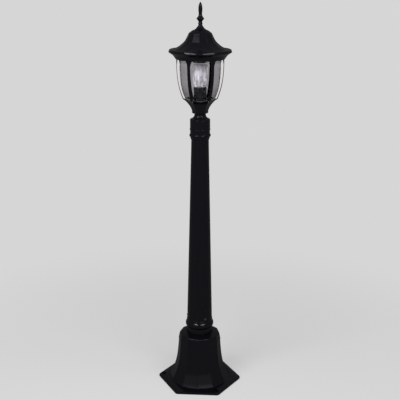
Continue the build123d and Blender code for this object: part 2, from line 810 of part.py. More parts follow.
def make_cage():
    """Six flat ribs with brackets under their top ring, and a flange that holds the glass down."""
    body = ring(cage_ring_inner, cage_ring_radius, skirt_z, cage_ring_top_z)
    body += ring(cage_flange_inner_radius, cage_ring_radius, cage_flange_z, cage_ring_top_z)
    for hole in around(strap_screw_hole(), 2):
        body -= hole
    for rib in around(make_rib(), rib_count):
        body += rib
    return body


def make_rib():
    """One rib over the +X axis, with its bracket above and its foot tab turned inwards."""
    stations = 7
    top_z = skirt_z - slide_clearance
    bracket_low = skirt_z - bracket_height
    levels = [cup_rim_z + (bracket_low - cup_rim_z) * step / (stations - 1) for step in range(stations)]
    outer = Spline(*[(rib_radius_at(level), level) for level in levels])
    inner = Spline(*[(rib_radius_at(level) - rib_thickness, level) for level in levels])
    outline = outer + inner + Line(outer @ 0, inner @ 0) + Line(outer @ 1, inner @ 1)
    strip = extrude(Plane.XZ * make_face(outline), amount=rib_width / 2, both=True)
    top_outer = rib_radius_at(skirt_z)
    block_outline = Polyline(
        (top_outer, top_z), (rib_radius_at(bracket_low), bracket_low),
        (rib_radius_at(bracket_low) - rib_thickness, bracket_low),
        (top_outer - bracket_thickness, top_z - 4.0), (top_outer - bracket_thickness, top_z), close=True)
    block = extrude(Plane.XZ * make_face(block_outline), amount=bracket_width / 2, both=True)
    half = Polyline((0, bracket_low), (rib_width / 2, bracket_low))
    half += ThreePointArc((rib_width / 2, bracket_low),
                          (rib_width * 0.425 + bracket_width * 0.075, skirt_z - bracket_height * 0.42),
                          (bracket_width / 2, skirt_z - 2.0))
    half += Polyline((bracket_width / 2, skirt_z - 2.0), (bracket_width / 2, skirt_z), (0, skirt_z))
    shape = make_face(half + mirror(half, Plane.YZ))
    gusset = block & extrude(Plane.YZ * shape, amount=foot_corner_radius)
    top = Pos(cage_ring_radius - 1.0 - cage_ring_wall / 2, 0, skirt_z) * Box(
        cage_ring_wall, bracket_width * 0.8, 2.0)
    tab = Pos(rib_radius_at(cup_rim_z) - rib_tab_length / 2 - 0.1, 0, cup_rim_z + rib_thickness / 2) * Box(
        rib_tab_length, rib_tab_width, rib_thickness)
    tab -= Pos(rib_screw_x, 0, 0) * ring(
        0, rib_screw_radius + assembly_clearance, cup_rim_z, cup_rim_z + rib_thickness)
    return strip + gusset + top + tab


def glass_radius_at(level):
    """Outer radius of the bowl: nearly straight above, drawn in towards its foot."""
    drop = (glass_top_z - level) / (glass_top_z - glass_foot_z)
    return glass_foot_radius + (glass_top_radius - glass_foot_radius) * (1 - drop ** 2.7)


def make_glass_bowl():
    """Clear bowl open at both ends, with a ground rim."""
    stations = 8
    span = glass_top_z - glass_foot_z
    levels = [glass_foot_z + span * step / (stations - 1) for step in range(stations)]
    outer = Spline(*[(glass_radius_at(level), level) for level in levels])
    inner = Spline(*[(glass_radius_at(level) - glass_wall, level) for level in levels])
    outline = outer + inner + Line(outer @ 0, inner @ 0) + Line(outer @ 1, inner @ 1)
    return turned(outline)


def make_glass_gasket_lower():
    """Flat ring under the bowl."""
    return ring(glass_foot_radius - glass_wall - 1.0, glass_foot_radius + 0.1, cup_rim_z, glass_foot_z)


def make_glass_gasket_upper():
    """Angle ring over the bowl's rim, under the cage's flange."""
    inner = glass_top_radius - glass_wall
    outer = cage_ring_inner - assembly_clearance
    low = glass_top_z - 2.0
    return turned_points([
        (inner, glass_top_z), (glass_top_radius + thread_clearance, glass_top_z),
        (glass_top_radius + thread_clearance, low), (outer, low), (outer, cage_flange_z),
        (inner, cage_flange_z)])


# Lampholder

def make_holder_base():
    """Round base of the lampholder, screwed on the nipple."""
    top = cup_rim_z + holder_base_height
    partition_z = top - holder_core_height
    body = ring(0, holder_radius, cup_rim_z, top)
    body -= ring(0, holder_radius - holder_wall, partition_z, top)
    return body - ring(0, nipple_radius + thread_clearance, cup_rim_z, nipple_top_z)


def make_holder_core():
    """Insulating disc that carries the contacts."""
    top = cup_rim_z + holder_base_height
    return ring(0, holder_radius - holder_wall - assembly_clearance, top - holder_core_height, top)


def make_holder_body():
    """Sleeve round the screw shell, with a lip at its mouth and fine grip rings."""
    low = cup_rim_z + holder_base_height
    inner = holder_radius - holder_wall
    body = ring(inner, holder_radius, low, holder_top_z)
    body += ring(holder_mouth_radius, holder_radius, holder_top_z - 2.5, holder_top_z)
    for step in range(3):
        level = low + 5.0 + step * 4.0
        body -= ring(holder_radius - 0.5, holder_radius + 1, level, level + 1.2)
    return body


def make_holder_shell():
    """Brass screw shell for the lamp's cap."""
    low = cup_rim_z + holder_base_height
    return ring(shell_bore_radius, shell_bore_radius + shell_wall, low, low + shell_height)


def make_holder_contact():
    """Sprung centre contact."""
    low = cup_rim_z + holder_base_height
    return ring(0, 4.0, low, low + contact_height)


# Lamp

def make_lamp_contact():
    """Button at the cap's end."""
    return ring(0, 4.5, lamp_foot_z, lamp_foot_z + 1.2)


def make_lamp_insulator():
    """Dark glass insulator between button and shell."""
    low = lamp_foot_z + 1.2
    return turned_points([(0, low), (4.8, low), (lamp_inside_radius, low + 2.6), (0, low + 2.6)])


def make_lamp_cap():
    """Screw cap with a thread's crests as rolled rings and a conical end."""
    low = lamp_shell_z + 1.0
    inner = lamp_cap_radius - lamp_cap_wall
    body = ring(inner, lamp_cap_radius, low + 1.6, lamp_glass_z)
    for step in range(4):
        level = low + 3.0 + step * 3.6
        body -= ring(lamp_cap_radius - 0.2, lamp_cap_radius + 1, level, level + 1.6)
    return body


def make_lamp_glass():
    """Clear tubular envelope with a rounded end, open into its cap."""
    top = lamp_glass_z + lamp_glass_height
    corner = 9.0
    shoulder = 9.0

    def half(radius, neck, end, inset):
        line = Polyline((0, lamp_glass_z), (neck, lamp_glass_z))
        line += Spline((neck, lamp_glass_z), (radius, lamp_glass_z + shoulder + inset),
                       tangents=[(1, 0.55), (0, 1)])
        line += Line((radius, lamp_glass_z + shoulder + inset), (radius, end - corner))
        line += Spline((radius, end - corner), (0, end), tangents=[(0, 1), (-1, 0)])
        return line + Line((0, end), (0, lamp_glass_z))

    outer = turned(half(lamp_glass_radius, lamp_neck_radius, top, 0.0))
    inner = turned(half(lamp_glass_radius - lamp_glass_wall, lamp_neck_radius - lamp_glass_wall,
                        top - lamp_glass_wall, lamp_glass_wall))
    return outer - inner


def make_lamp_stem():
    """Glass mount that carries the filament's wires."""
    low = lamp_shell_z + 6.0
    high = lamp_glass_z + lamp_stem_height
    return turned_points([
        (0, low), (lamp_inside_radius, low), (lamp_inside_radius, low + 1.5),
        (lamp_stem_radius, low + 9.0), (lamp_stem_radius, high), (0, high)])


def make_lamp_filament():
    """Two lead wires out of the stem with a zigzag filament between them."""
    low = lamp_glass_z + lamp_stem_height
    high = lamp_glass_z + lamp_glass_height - 18.0
    spread = lamp_glass_radius * 0.42
    turns = 4
    points = [(-1.2, 0, low), (-1.2, 0, low + 2.0), (-spread, 0, high - 20.0)]
    for step in range(turns + 1):
        x = -spread + 2 * spread * step / turns
        level = high if step % 2 else high - 18.0
        points.append((x, 0, level))
    points += [(spread, 0, high - 20.0), (1.2, 0, low + 2.0), (1.2, 0, low)]
    start = Pos(*points[0]) * Circle(lamp_wire_radius)
    return sweep(start, path=Polyline(*points), transition=Transition.RIGHT)


# Strap, stud and roof

def strap_screw_hole():
    """Tapped hole in the cage's flange for a strap screw."""
    x = strap_foot_radius - strap_screw_inset
    return Pos(x, 0, 0) * ring(0, strap_screw_radius + thread_clearance, cage_flange_z, cage_ring_top_z)


def make_roof_strap():
    """Arched strap across the cage's flange."""
    low = cage_ring_top_z
    high = low + strap_rise
    t = strap_thickness
    half = Polyline(
        (0, high), (strap_flat_half, high), (strap_bend_radius - t * 0.5, low), (strap_foot_radius, low),
        (strap_foot_radius, low + t), (strap_bend_radius + t * 0.7, low + t),
        (strap_flat_half + t * 0.9, high + t), (0, high + t))
    body = extrude(Plane.XZ * make_face(half + mirror(half, Plane.YZ)), amount=strap_width / 2, both=True)
    body -= ring(0, stud_radius + thread_clearance, high, high + t)
    x = strap_foot_radius - strap_screw_inset
    for hole in around(Pos(x, 0, 0) * ring(0, strap_screw_radius + assembly_clearance, low, low + t), 2):
        body -= hole
    return body


def make_strap_screws():
    """Screws that hold the strap's feet."""
    screw = socket_screw(2.4, 1.6, strap_screw_radius, strap_thickness + cage_flange_thickness - 0.3)
    x = strap_foot_radius - strap_screw_inset
    return around(Pos(x, 0, cage_ring_top_z + strap_thickness) * screw, 2)


def make_roof_stud():
    """Threaded stud from the strap up through the roof."""
    return ring(0, stud_radius, stud_foot_z, stud_top_z)


def make_stud_nuts():
    """Nuts under and over the strap."""
    bore = stud_radius + thread_clearance
    return [
        hex_nut(stud_nut_width, bore, strap_top_z - strap_thickness - stud_nut_height, stud_nut_height),
        hex_nut(stud_nut_width, bore, strap_top_z, stud_nut_height),
    ]


def dome_side(wall=0.0):
    """The dome's bell-shaped side below its shoulder, as a curve; wall moves it inwards."""
    shoulder_z = dome_top_z - dome_shoulder_drop
    foot_z = skirt_z + dome_foot_level
    drop = shoulder_z - foot_z
    flare = dome_foot_radius - dome_shoulder_radius
    steps = ((0.0, 0.0), (0.12, 0.045), (0.27, 0.125), (0.42, 0.23), (0.57, 0.37), (0.72, 0.545),
             (0.87, 0.78), (1.0, 1.0))
    points = [
        (flat_radius(dome_shoulder_radius + flare * share, dome_sides) - wall, shoulder_z - drop * down)
        for down, share in steps
    ]
    return Spline(*points)


def make_roof_shell():
    """Twelve-sided bell dome on a round brim with a bead, a cove under it and an inner ledge."""
    side = dome_side()
    top_flat = flat_radius(dome_top_radius, dome_sides)
    foot_z = skirt_z + dome_foot_level
    half = side + Polyline(side @ 0, (top_flat, dome_top_z), (0, dome_top_z))
    half += Polyline(side @ 1, ((side @ 1).X, foot_z - 0.8), (0, foot_z - 0.8))
    dome = many_sided(dome_sides, half)

    flare_radius = flat_radius(dome_foot_radius, dome_sides) + 0.3
    valley = (brim_valley_radius, skirt_z + brim_valley_level)
    bead_z = skirt_z + bead_level
    bead_in = (bead_ring_radius - bead_radius * cos(radians(35)), bead_z + bead_radius * sin(radians(35)))
    bead_low = (bead_ring_radius + bead_radius * cos(radians(70)), bead_z - bead_radius * sin(radians(70)))
    outline = Spline((flare_radius, foot_z), valley, tangents=[(1, -0.62), (1, -0.05)])
    outline += Line(valley, bead_in)
    outline += ThreePointArc(bead_in, (bead_ring_radius + bead_radius * cos(radians(20)),
                                       bead_z + bead_radius * sin(radians(20))), bead_low)
    outline += ThreePointArc(bead_low, (skirt_radius + 5.2, skirt_z + 8.6), (skirt_radius, skirt_z + 1.5))
    outline += Polyline((skirt_radius, skirt_z + 1.5), (skirt_radius, skirt_z), (0, skirt_z), (0, foot_z),
                        (flare_radius, foot_z))
    brim = turned(outline)

    inner = dome_side(roof_wall)
    inner_top = inner @ 0
    inner_foot = inner @ 1
    bore = skirt_bore
    ledge_top = roof_ledge_z + roof_ledge_thickness
    cavity = inner + Polyline(
        inner_top, (top_flat - 2.0, dome_top_z - roof_wall), (0, dome_top_z - roof_wall),
        (0, skirt_z), (bore, skirt_z), (bore, roof_ledge_z), (roof_ledge_radius, roof_ledge_z),
        (roof_ledge_radius, ledge_top), (bore + 3.5, ledge_top), (brim_valley_radius, bead_z - 2.6),
        (brim_valley_radius - 4.0, bead_z - 1.2), (inner_foot.X + 1.5, inner_foot.Y - roof_wall), inner_foot)
    body = dome + brim - turned(cavity)
    return body - ring(0, stud_radius + slide_clearance, dome_top_z - roof_wall, dome_top_z)


def make_roof_gasket():
    """Ring under the roof's ledge, resting on the cage's ring."""
    low = cage_ring_top_z + seat_gap
    return ring(roof_ledge_radius + 0.3, cage_ring_radius - 0.4, low, roof_ledge_z)


# Finial

def make_finial_cap():
    """Cone-shaped nut with a small ring above it."""
    foot = finial_foot_z
    bottom = [
        (finial_insert_radius + thread_clearance, foot), (finial_skirt_radius, foot),
        (finial_skirt_radius, foot + 0.9)]
    outline = Polyline(*bottom)
    outline += Spline((finial_skirt_radius, foot + 0.9), (finial_skirt_radius * 0.6, foot + 5.5),
                      (finial_neck_radius, foot + 14.0), tangents=[(-1, 0.45), (-0.12, 1)])
    ring_z = foot + 18.0
    outline += ThreePointArc((finial_neck_radius, foot + 14.0), (finial_neck_radius - 0.1, foot + 15.0),
                             (finial_neck_radius, foot + 16.0))
    outline += ThreePointArc((finial_neck_radius, foot + 16.0), (finial_ring_radius, ring_z),
                             (finial_neck_radius, foot + 20.0))
    top = foot + finial_cap_height - seat_gap
    bore_top = foot + finial_insert_length
    outline += Polyline((finial_neck_radius, foot + 20.0), (finial_neck_radius, top),
                        (finial_pin_radius + thread_clearance, top),
                        (finial_pin_radius + thread_clearance, top - finial_pin_length - seat_gap),
                        (0, top - finial_pin_length - seat_gap), (0, bore_top),
                        (finial_insert_radius + thread_clearance, bore_top),
                        (finial_insert_radius + thread_clearance, foot))
    return turned(outline)


def make_finial_insert():
    """Threaded brass insert in the cap nut."""
    return ring(stud_radius + swivel_clearance, finial_insert_radius, finial_foot_z,
                finial_foot_z + finial_insert_length)


def make_finial_spear():
    """Knop and spear on a pin in the cap nut."""
    low = finial_foot_z + finial_cap_height
    knop_z = dome_top_z + knop_level
    neck_z = dome_top_z + spear_neck_level
    widest_z = dome_top_z + spear_widest_level
    outline = Polyline((0, low - finial_pin_length), (finial_pin_radius, low - finial_pin_length),
                       (finial_pin_radius, low), (finial_neck_radius, low), (finial_neck_radius, low + 0.8))
    outline += Spline((finial_neck_radius, low + 0.8), (knop_radius, knop_z - 0.6),
                      tangents=[(0.25, 1), (1, 0.75)])
    outline += Line((knop_radius, knop_z - 0.6), (knop_radius, knop_z + 0.6))
    outline += Spline((knop_radius, knop_z + 0.6), (spear_neck_radius + 1.0, knop_z + 8.5),
                      (spear_neck_radius, neck_z), tangents=[(-1, 0.75), (0, 1)])
    outline += Spline((spear_neck_radius, neck_z), (spear_radius, widest_z), (spear_tip_radius, tip_z),
                      tangents=[(0.1, 1), (-0.35, 1)])
    outline += Polyline((spear_tip_radius, tip_z), (0, tip_z), (0, low - finial_pin_length))
    return turned(outline)


def main():
    os.makedirs("parts", exist_ok=True)
    standing = {
        "base_casting": make_base_casting, "base_collar": make_base_collar, "collar_bolts": make_collar_bolts,
        "collar_washers": make_collar_washers, "collar_set_screws": make_collar_set_screws,
        "post_tube": make_post_tube, "cable_bush": make_cable_bush, "inner_cable": make_inner_cable,
        "box_bracket": make_box_bracket, "bracket_screws": make_bracket_screws,
        "terminal_box": make_terminal_box, "terminal_box_lid": make_terminal_box_lid,
        "box_screws": make_box_screws,
        "terminal_block": make_terminal_block, "terminal_screws": make_terminal_screws,
        "supply_gland": make_supply_gland, "gland_nut": make_gland_nut,
        "earth_screw": make_earth_screw, "earth_washer": make_earth_washer,
    }
    head = {
        "fitter": make_fitter, "fitter_set_screws": make_fitter_set_screws, "lantern_cup": make_lantern_cup,
        "threaded_nipple": make_threaded_nipple, "nipple_nuts": make_nipple_nuts,
        "seat_plate": make_seat_plate,
        "cage": make_cage, "rib_screws": make_rib_screws, "glass_gasket_lower": make_glass_gasket_lower,
        "glass_bowl": make_glass_bowl, "glass_gasket_upper": make_glass_gasket_upper,
        "holder_base": make_holder_base,
        "holder_core": make_holder_core, "holder_body": make_holder_body, "holder_shell": make_holder_shell,
        "holder_contact": make_holder_contact, "roof_strap": make_roof_strap,
        "strap_screws": make_strap_screws,
        "roof_stud": make_roof_stud, "stud_nuts": make_stud_nuts,
        "lamp_contact": make_lamp_contact, "lamp_insulator": make_lamp_insulator, "lamp_cap": make_lamp_cap,
        "lamp_glass": make_lamp_glass, "lamp_stem": make_lamp_stem, "lamp_filament": make_lamp_filament,
    }
    roof = {
        "roof_shell": make_roof_shell, "roof_gasket": make_roof_gasket,
        "finial_cap": make_finial_cap, "finial_insert": make_finial_insert, "finial_spear": make_finial_spear,
    }
    for node, make in standing.items():
        save(node, *as_list(make()))
    for makers, angle in ((head, head_turn), (roof, roof_turn)):
        for node, make in makers.items():
            save(node, *[Rot(0, 0, angle) * solid for solid in as_list(make())])


def as_list(made):
    """A maker returns one shape or a list of like shapes."""
    return made if isinstance(made, list) else [made]


main()
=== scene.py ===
import json
import math

import bpy
from mathutils import Matrix, Vector
from mathutils.geometry import interpolate_bezier


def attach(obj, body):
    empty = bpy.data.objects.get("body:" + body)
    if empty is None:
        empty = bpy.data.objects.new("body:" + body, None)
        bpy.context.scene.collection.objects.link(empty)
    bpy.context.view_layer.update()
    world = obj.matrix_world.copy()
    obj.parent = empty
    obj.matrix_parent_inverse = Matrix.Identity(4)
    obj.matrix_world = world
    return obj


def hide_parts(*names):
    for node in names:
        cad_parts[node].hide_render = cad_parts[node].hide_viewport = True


bl_info = {
    "name": "Garden Post Lantern",
    "version": (1, 0, 0),
    "blender": (4, 5, 0),
    "location": "View3D > Sidebar > Lantern",
    "description": "Models and dresses a black garden post lantern round its fixed frame",
    "category": "Add Mesh",
}

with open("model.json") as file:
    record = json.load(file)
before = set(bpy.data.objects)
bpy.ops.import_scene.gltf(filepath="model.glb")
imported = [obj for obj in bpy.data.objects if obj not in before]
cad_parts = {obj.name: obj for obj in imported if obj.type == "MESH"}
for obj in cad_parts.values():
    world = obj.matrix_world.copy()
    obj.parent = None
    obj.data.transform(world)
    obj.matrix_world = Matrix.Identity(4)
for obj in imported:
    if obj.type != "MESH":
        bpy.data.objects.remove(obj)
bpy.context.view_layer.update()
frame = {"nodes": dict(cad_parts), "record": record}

MM = 0.001
HEAD_TURN, ROOF_TURN = 5.0, 1.0


def flow(*marks, steps=4):
    """A smooth curve through the marks of a profile, as a bent spline lies."""
    marks = [Vector(mark) for mark in marks]
    ends = [marks[0] * 2 - marks[1], *marks, marks[-1] * 2 - marks[-2]]
    points = []
    for before, near, far, after in zip(ends, ends[1:], ends[2:], ends[3:]):
        third = (far - near).length / 3
        leave = near + (far - before).normalized() * third
        reach = far - (after - near).normalized() * third
        points += interpolate_bezier(near, leave, reach, far, steps + 1)[:-1]
    return [tuple(point) for point in (*points, marks[-1])]


def arc(radius, height, bend, start, end, steps=6):
    """A round stretch of a profile about (radius, height); 0 degrees looks outwards and 90 up."""
    turns = [math.radians(start + (end - start) * step / steps) for step in range(steps + 1)]
    return [(radius + bend * math.cos(turn), height + bend * math.sin(turn)) for turn in turns]


# Profiles are (radius, height) in millimetres, marked off as for a lathe.
BELL = [
    *flow((100.0, 10.4), (98.2, 13.0), (91.3, 25.4), (82.9, 43.6), (76.7, 61.9), (71.8, 88.0),
          (68.6, 119.3), (67.1, 140.6)), (67.8, 141.9), (67.8, 143.0),
    *flow((65.3, 155.0), (64.3, 160.6), (63.4, 162.8), (61.8, 164.0), steps=2), (44.1, 168.0),
    (16.6, 168.0), (16.6, 159.0), (49.7, 159.0), (55.5, 154.5), (60.0, 141.3), (63.2, 119.3),
    (66.5, 88.0), (71.3, 61.9), (77.5, 43.6), (86.0, 25.4), (92.9, 10.4), (100.0, 10.4),
]
COLLAR = [
    (16.0, 168.0), (42.4, 168.0), (42.4, 171.0), (40.8, 171.6), (40.8, 187.6),
    *flow((41.4, 188.8), (43.8, 193.8), (44.4, 198.0), (44.0, 201.8), (42.7, 204.2), (41.1, 206.3),
          (39.9, 207.8), steps=3), (39.7, 211.2), *arc(39.0, 213.7, 1.7, -50, 50), (39.4, 222.0),
    (39.2, 231.0), (33.2, 231.0), (33.2, 183.0), (16.0, 183.0), (16.0, 168.0),
]
POST_FOOT, POST_HEAD = (39.3, 231.1), (26.5, 796.0)
POST = [
    (28.5, 185.0), (33.0, 185.0), (33.0, 231.1), POST_FOOT, POST_HEAD, (23.4, 796.0), (23.4, 846.0),
    (19.5, 846.0), (19.5, 796.0), (20.4, 784.0), (32.7, 243.0), (28.5, 231.0), (28.5, 185.0),
]
FITTER = [
    (23.45, 796.1), (26.6, 796.1), (28.2, 800.0), (28.8, 802.6), *arc(26.4, 811.0, 5.9, -52, 52),
    *flow((29.9, 817.0), (29.8, 821.0), (30.0, 825.6), steps=3), *arc(29.4, 829.1, 1.9, -60, 60, 4),
    (30.2, 832.0), (30.2, 857.6), *arc(28.2, 858.2, 2.0, 0, 70, 4), (24.5, 862.0), (5.05, 862.0),
    (5.05, 847.0), (23.45, 847.0), (23.45, 796.1),
]
NECK = [
    (5.05, 862.0), (23.7, 862.0),
    *flow((23.2, 862.8), (19.4, 866.6), (17.4, 871.0), (17.0, 874.5), steps=3), (17.0, 879.5),
    (5.05, 879.5), (5.05, 862.0),
]
CUP = [
    (5.4, 877.0), (22.3, 877.0), (24.4, 879.0), (24.6, 884.0),
    *flow((25.2, 887.4), (29.5, 896.5), (37.4, 907.4), (44.8, 915.0), (50.4, 919.0), steps=5),
    (47.1, 919.0), (46.6, 917.6), (40.0, 912.4), (31.0, 901.0), (23.0, 890.0), (21.4, 881.2),
    (5.4, 881.2), (5.4, 877.0),
]
BOWL = [
    *flow((44.0, 920.5), (50.9, 937.0), (56.4, 958.0), (59.4, 981.0), (60.9, 1006.0), (61.3, 1026.4),
          (62.9, 1032.6), (62.2, 1038.0), steps=5), (62.0, 1041.5), (59.0, 1041.5),
    *flow((58.7, 1034.0), (57.9, 1006.0), (56.4, 981.0), (53.4, 958.0), (47.9, 937.0), (41.0, 920.5),
          steps=5), (44.0, 920.5),
]
ENVELOPE = [
    (12.5, 952.0), *flow((13.2, 953.6), (20.6, 958.2), (22.6, 965.0), steps=5), (22.6, 1018.0),
    *arc(15.6, 1020.0, 7.0, 0, 84), (7.0, 1027.2), (0.0, 1027.4),
]
DOME = [
    (64.0, 1067.4), (73.0, 1068.2), (71.4, 1069.6),
    *flow((66.8, 1072.2), (58.2, 1077.8), (45.9, 1089.3), (39.2, 1100.8), (35.0, 1109.8)),
    *flow((33.6, 1112.4), (27.0, 1117.4), (21.6, 1120.6), (19.2, 1121.0), steps=2), (3.4, 1121.0),
    (3.4, 1118.0), (16.0, 1118.0), (28.0, 1111.2), (36.0, 1099.0), (45.4, 1084.4), (58.0, 1073.4),
    (64.0, 1067.4),
]
BRIM = [
    (61.0, 1071.6), (66.0, 1071.0),
    *flow((71.6, 1068.4), (78.4, 1065.2), (84.6, 1063.8), (87.0, 1064.6), steps=3),
    *flow((88.8, 1065.4), (90.6, 1065.0), (91.4, 1063.6), (93.1, 1058.8), (92.6, 1057.4), (90.8, 1056.4),
          steps=3), *flow((89.0, 1055.2), (81.6, 1050.0), (76.6, 1044.0), (73.6, 1039.4), steps=4),
    (72.4, 1038.0), (69.9, 1038.0), (69.9, 1048.5), (65.4, 1048.5), (65.4, 1051.0), (73.4, 1051.0),
    (85.0, 1058.4), (80.0, 1059.8), (66.6, 1066.9), (61.0, 1071.6),
]
FINIAL_CAP = [
    (4.35, 1133.1), (4.35, 1121.1), (17.6, 1121.1), (18.0, 1121.9),
    *flow((16.6, 1122.6), (13.8, 1124.5), (11.0, 1127.5), (7.8, 1131.6), (5.8, 1135.4), steps=3),
    *arc(3.9, 1139.1, 2.8, -50, 50), (5.6, 1142.4), (5.6, 1145.0), (2.05, 1145.0), (2.05, 1138.0),
    (2.05, 1133.1), (4.35, 1133.1),
]
FINIAL_SPEAR = [
    (2.0, 1138.2), (2.0, 1145.1), (5.4, 1145.1),
    *flow((5.8, 1145.8), (8.2, 1149.2), (11.2, 1152.0), steps=3), (11.5, 1152.7),
    *flow((11.2, 1153.4), (8.2, 1157.4), (5.9, 1161.0), (5.0, 1166.6), (5.6, 1173.0), (5.9, 1180.0),
          (5.1, 1189.4), (2.6, 1197.4)), (0.9, 1199.6), (0.0, 1200.0),
]
GRIP_GROOVES = [
    point for low in (934, 938, 942)
    for point in ((19.3, low), (18.7, low + 0.3), (18.7, low + 1.2), (19.3, low + 1.5))
]
HOLDER_SLEEVE = [
    (17.0, 929.0), (19.3, 929.0), *GRIP_GROOVES, (19.3, 952.8), *arc(18.1, 953.2, 1.2, 0, 90, 4),
    (15.2, 954.4), (14.6, 950.5), (17.0, 950.5), (17.0, 929.0),
]
HOLDER_BASE = [
    (5.05, 919.0), (19.0, 919.0), (19.3, 919.4), (19.3, 928.4), (18.9, 929.0), (17.1, 929.0),
    (17.1, 925.0), (5.05, 925.0), (5.05, 919.0),
]

# Sizes of single features, in millimetres, and their places round the post, in degrees from the right.
PLATE = [(134.0, 0.0), (134.0, 7.0), (113.2, 11.0)]
PLATE_MOUTH = 89.7
THIRDS = (60.0, 180.0, 300.0)
ANCHOR_CIRCLE, ANCHOR_HOLE, ANCHOR_SPOT, SPOT_LEVEL = 118.0, 4.5, 9.0, 7.05
COLLAR_SCREW, COLLAR_SCREW_LEVEL = 3.05, 223.0
FLUTES, FLUTE_FOOT_GAP, FLUTE_HEAD_GAP = 6, 24.0, 16.8
HEAD_SCREW, HEAD_SCREW_LEVEL, HEAD_SCREW_ANGLES = 2.55, 838.1, (30.0, 150.0)
CUP_SCALLOP, CUP_SCALLOP_LEVEL = 70.0, 986.4
RIB_TOP, RIB_FOOT, RIB_FOOT_RADIUS, RIB_SWELL, RIB_BOW = 1038.0, 919.0, 50.6, 19.6, 2.7
BRACKET_SLICE = 0.4
BRACKET = [  # level, share of the bracket's extra width, thickness
    (1037.7, 1.0, 3.7), (1035.4, 1.0, 3.6), (1033.6, 0.72, 3.3), (1031.0, 0.42, 2.9), (1028.0, 0.24, 2.4),
    (1024.6, 0.13, 1.9), (1023.2, 0.1, 1.7),
]
RIB_LEVELS = (1022.6, 1012, 1000, 988, 976)
RIB_FOOT_LEVELS, RIB_THICKENING = (966, 956, 947, 939, 932, 925, 919), 0.011
TAB_SIZE, TAB_LEVEL, TAB_INSET = (6.0, 7.0, 1.4), 919.7, 3.1
TAB_SCREW, TAB_SCREW_INSET = 1.2, 3.4
CAGE_RING = [
    (66.5, 1037.0), (69.6, 1037.0), (69.6, 1046.0), (59.5, 1046.0), (59.5, 1043.0), (66.5, 1043.0),
    (66.5, 1037.0),
]
STRAP_SCREW, STRAP_SCREW_CIRCLE = 1.55, 62.0
ENVELOPE_SHOULDER, ENVELOPE_WALL, ENVELOPE_CROWN = 1018.0, 1.0, 0.95
# Levels of the painted shade on the bowl's lowest part, in metres, and how fast its glass takes up light, per
# metre.
LOW_SHADE_FULL, LOW_SHADE_END, SMOKE_DENSITY = 0.921, 0.97, 420.0
# Points nearer than WELD are one. A ridge starts off the axis, and has hardly any twist and some rise.
WELD, AXIS_ROOM, RIDGE_TWIST, RIDGE_RISE = 0.000002, 0.001, 0.01, 0.00005
# The camera's film in millimetres, its lens as a share of it, and places in metres.
FILM_WIDTH, FOCAL_SHARE = 36.0, 2.01
AIM_HEIGHT, FLOOR_LEVEL, FLOOR_RADIUS = 0.75, -0.0005, 60.0


def linear(hex_color):
    """Turns an sRGB hex colour, as a paint maker gives it, to linear values."""
    parts = [int(hex_color[i:i + 2], 16) / 255 for i in (1, 3, 5)]
    return tuple(p / 12.92 if p <= 0.04045 else ((p + 0.055) / 1.055) ** 2.4 for p in parts)


def shade(colour, share):
    """A colour made darker or lighter by a share."""
    return [min(1.0, c * share) for c in colour]


def add_node(tree, kind, settings=None, inputs=None):
    """Adds a node, sets its properties, and sets or links its inputs."""
    node = tree.nodes.new(kind)
    for name, value in (settings or {}).items():
        setattr(node, name, value)
    for name, value in (inputs or {}).items():
        if isinstance(value, bpy.types.NodeSocket):
            tree.links.new(value, node.inputs[name])
        else:
            node.inputs[name].default_value = value
    return node


def add_noise(tree, coords, millimetres, detail):
    """Noise whose features are this many millimetres apart."""
    return add_node(tree, "ShaderNodeTexNoise", inputs={
        "Vector": coords, "Scale": 1000.0 / millimetres, "Detail": detail}).outputs["Fac"]


def add_range(tree, value, low, high, start=0.0, end=1.0, kind="LINEAR"):
    """Carries a value that runs from start to end over to low and high."""
    return add_node(tree, "ShaderNodeMapRange", {"interpolation_type": kind}, {
        "Value": value, "From Min": start, "From Max": end, "To Min": low, "To Max": high}).outputs["Result"]


def add_tones(tree, share, first, second):
    """Goes from one colour to another with a share."""
    return add_node(tree, "ShaderNodeMix", {"data_type": "RGBA"}, {
        "Factor": share, "A": (*first, 1.0), "B": (*second, 1.0)}).outputs["Result"]


def add_relief(tree, height, strength, metres, **under):
    """Raises and sinks the surface with a height, over a coarser relief where there is one."""
    return add_node(tree, "ShaderNodeBump", inputs={
        "Height": height, "Strength": strength, "Distance": metres, **under}).outputs["Normal"]


def new_finish(name):
    """A material with an empty tree, its object coordinates and a shader wired to the output."""
    finish = bpy.data.materials.new(name)
    finish.use_nodes = True
    tree = finish.node_tree
    tree.nodes.clear()
    coords = add_node(tree, "ShaderNodeTexCoord")
    shader = add_node(tree, "ShaderNodeBsdfPrincipled")
    add_node(tree, "ShaderNodeOutputMaterial", inputs={"Surface": shader.outputs["BSDF"]})
    return finish, tree, coords.outputs["Object"], shader


def set_shader(tree, shader, **values):
    """Sets or links the shader's sockets by name, with underscores for spaces."""
    for name, value in values.items():
        socket = shader.inputs[name.replace("_", " ")]
        if isinstance(value, bpy.types.NodeSocket):
            tree.links.new(value, socket)
        else:
            socket.default_value = value


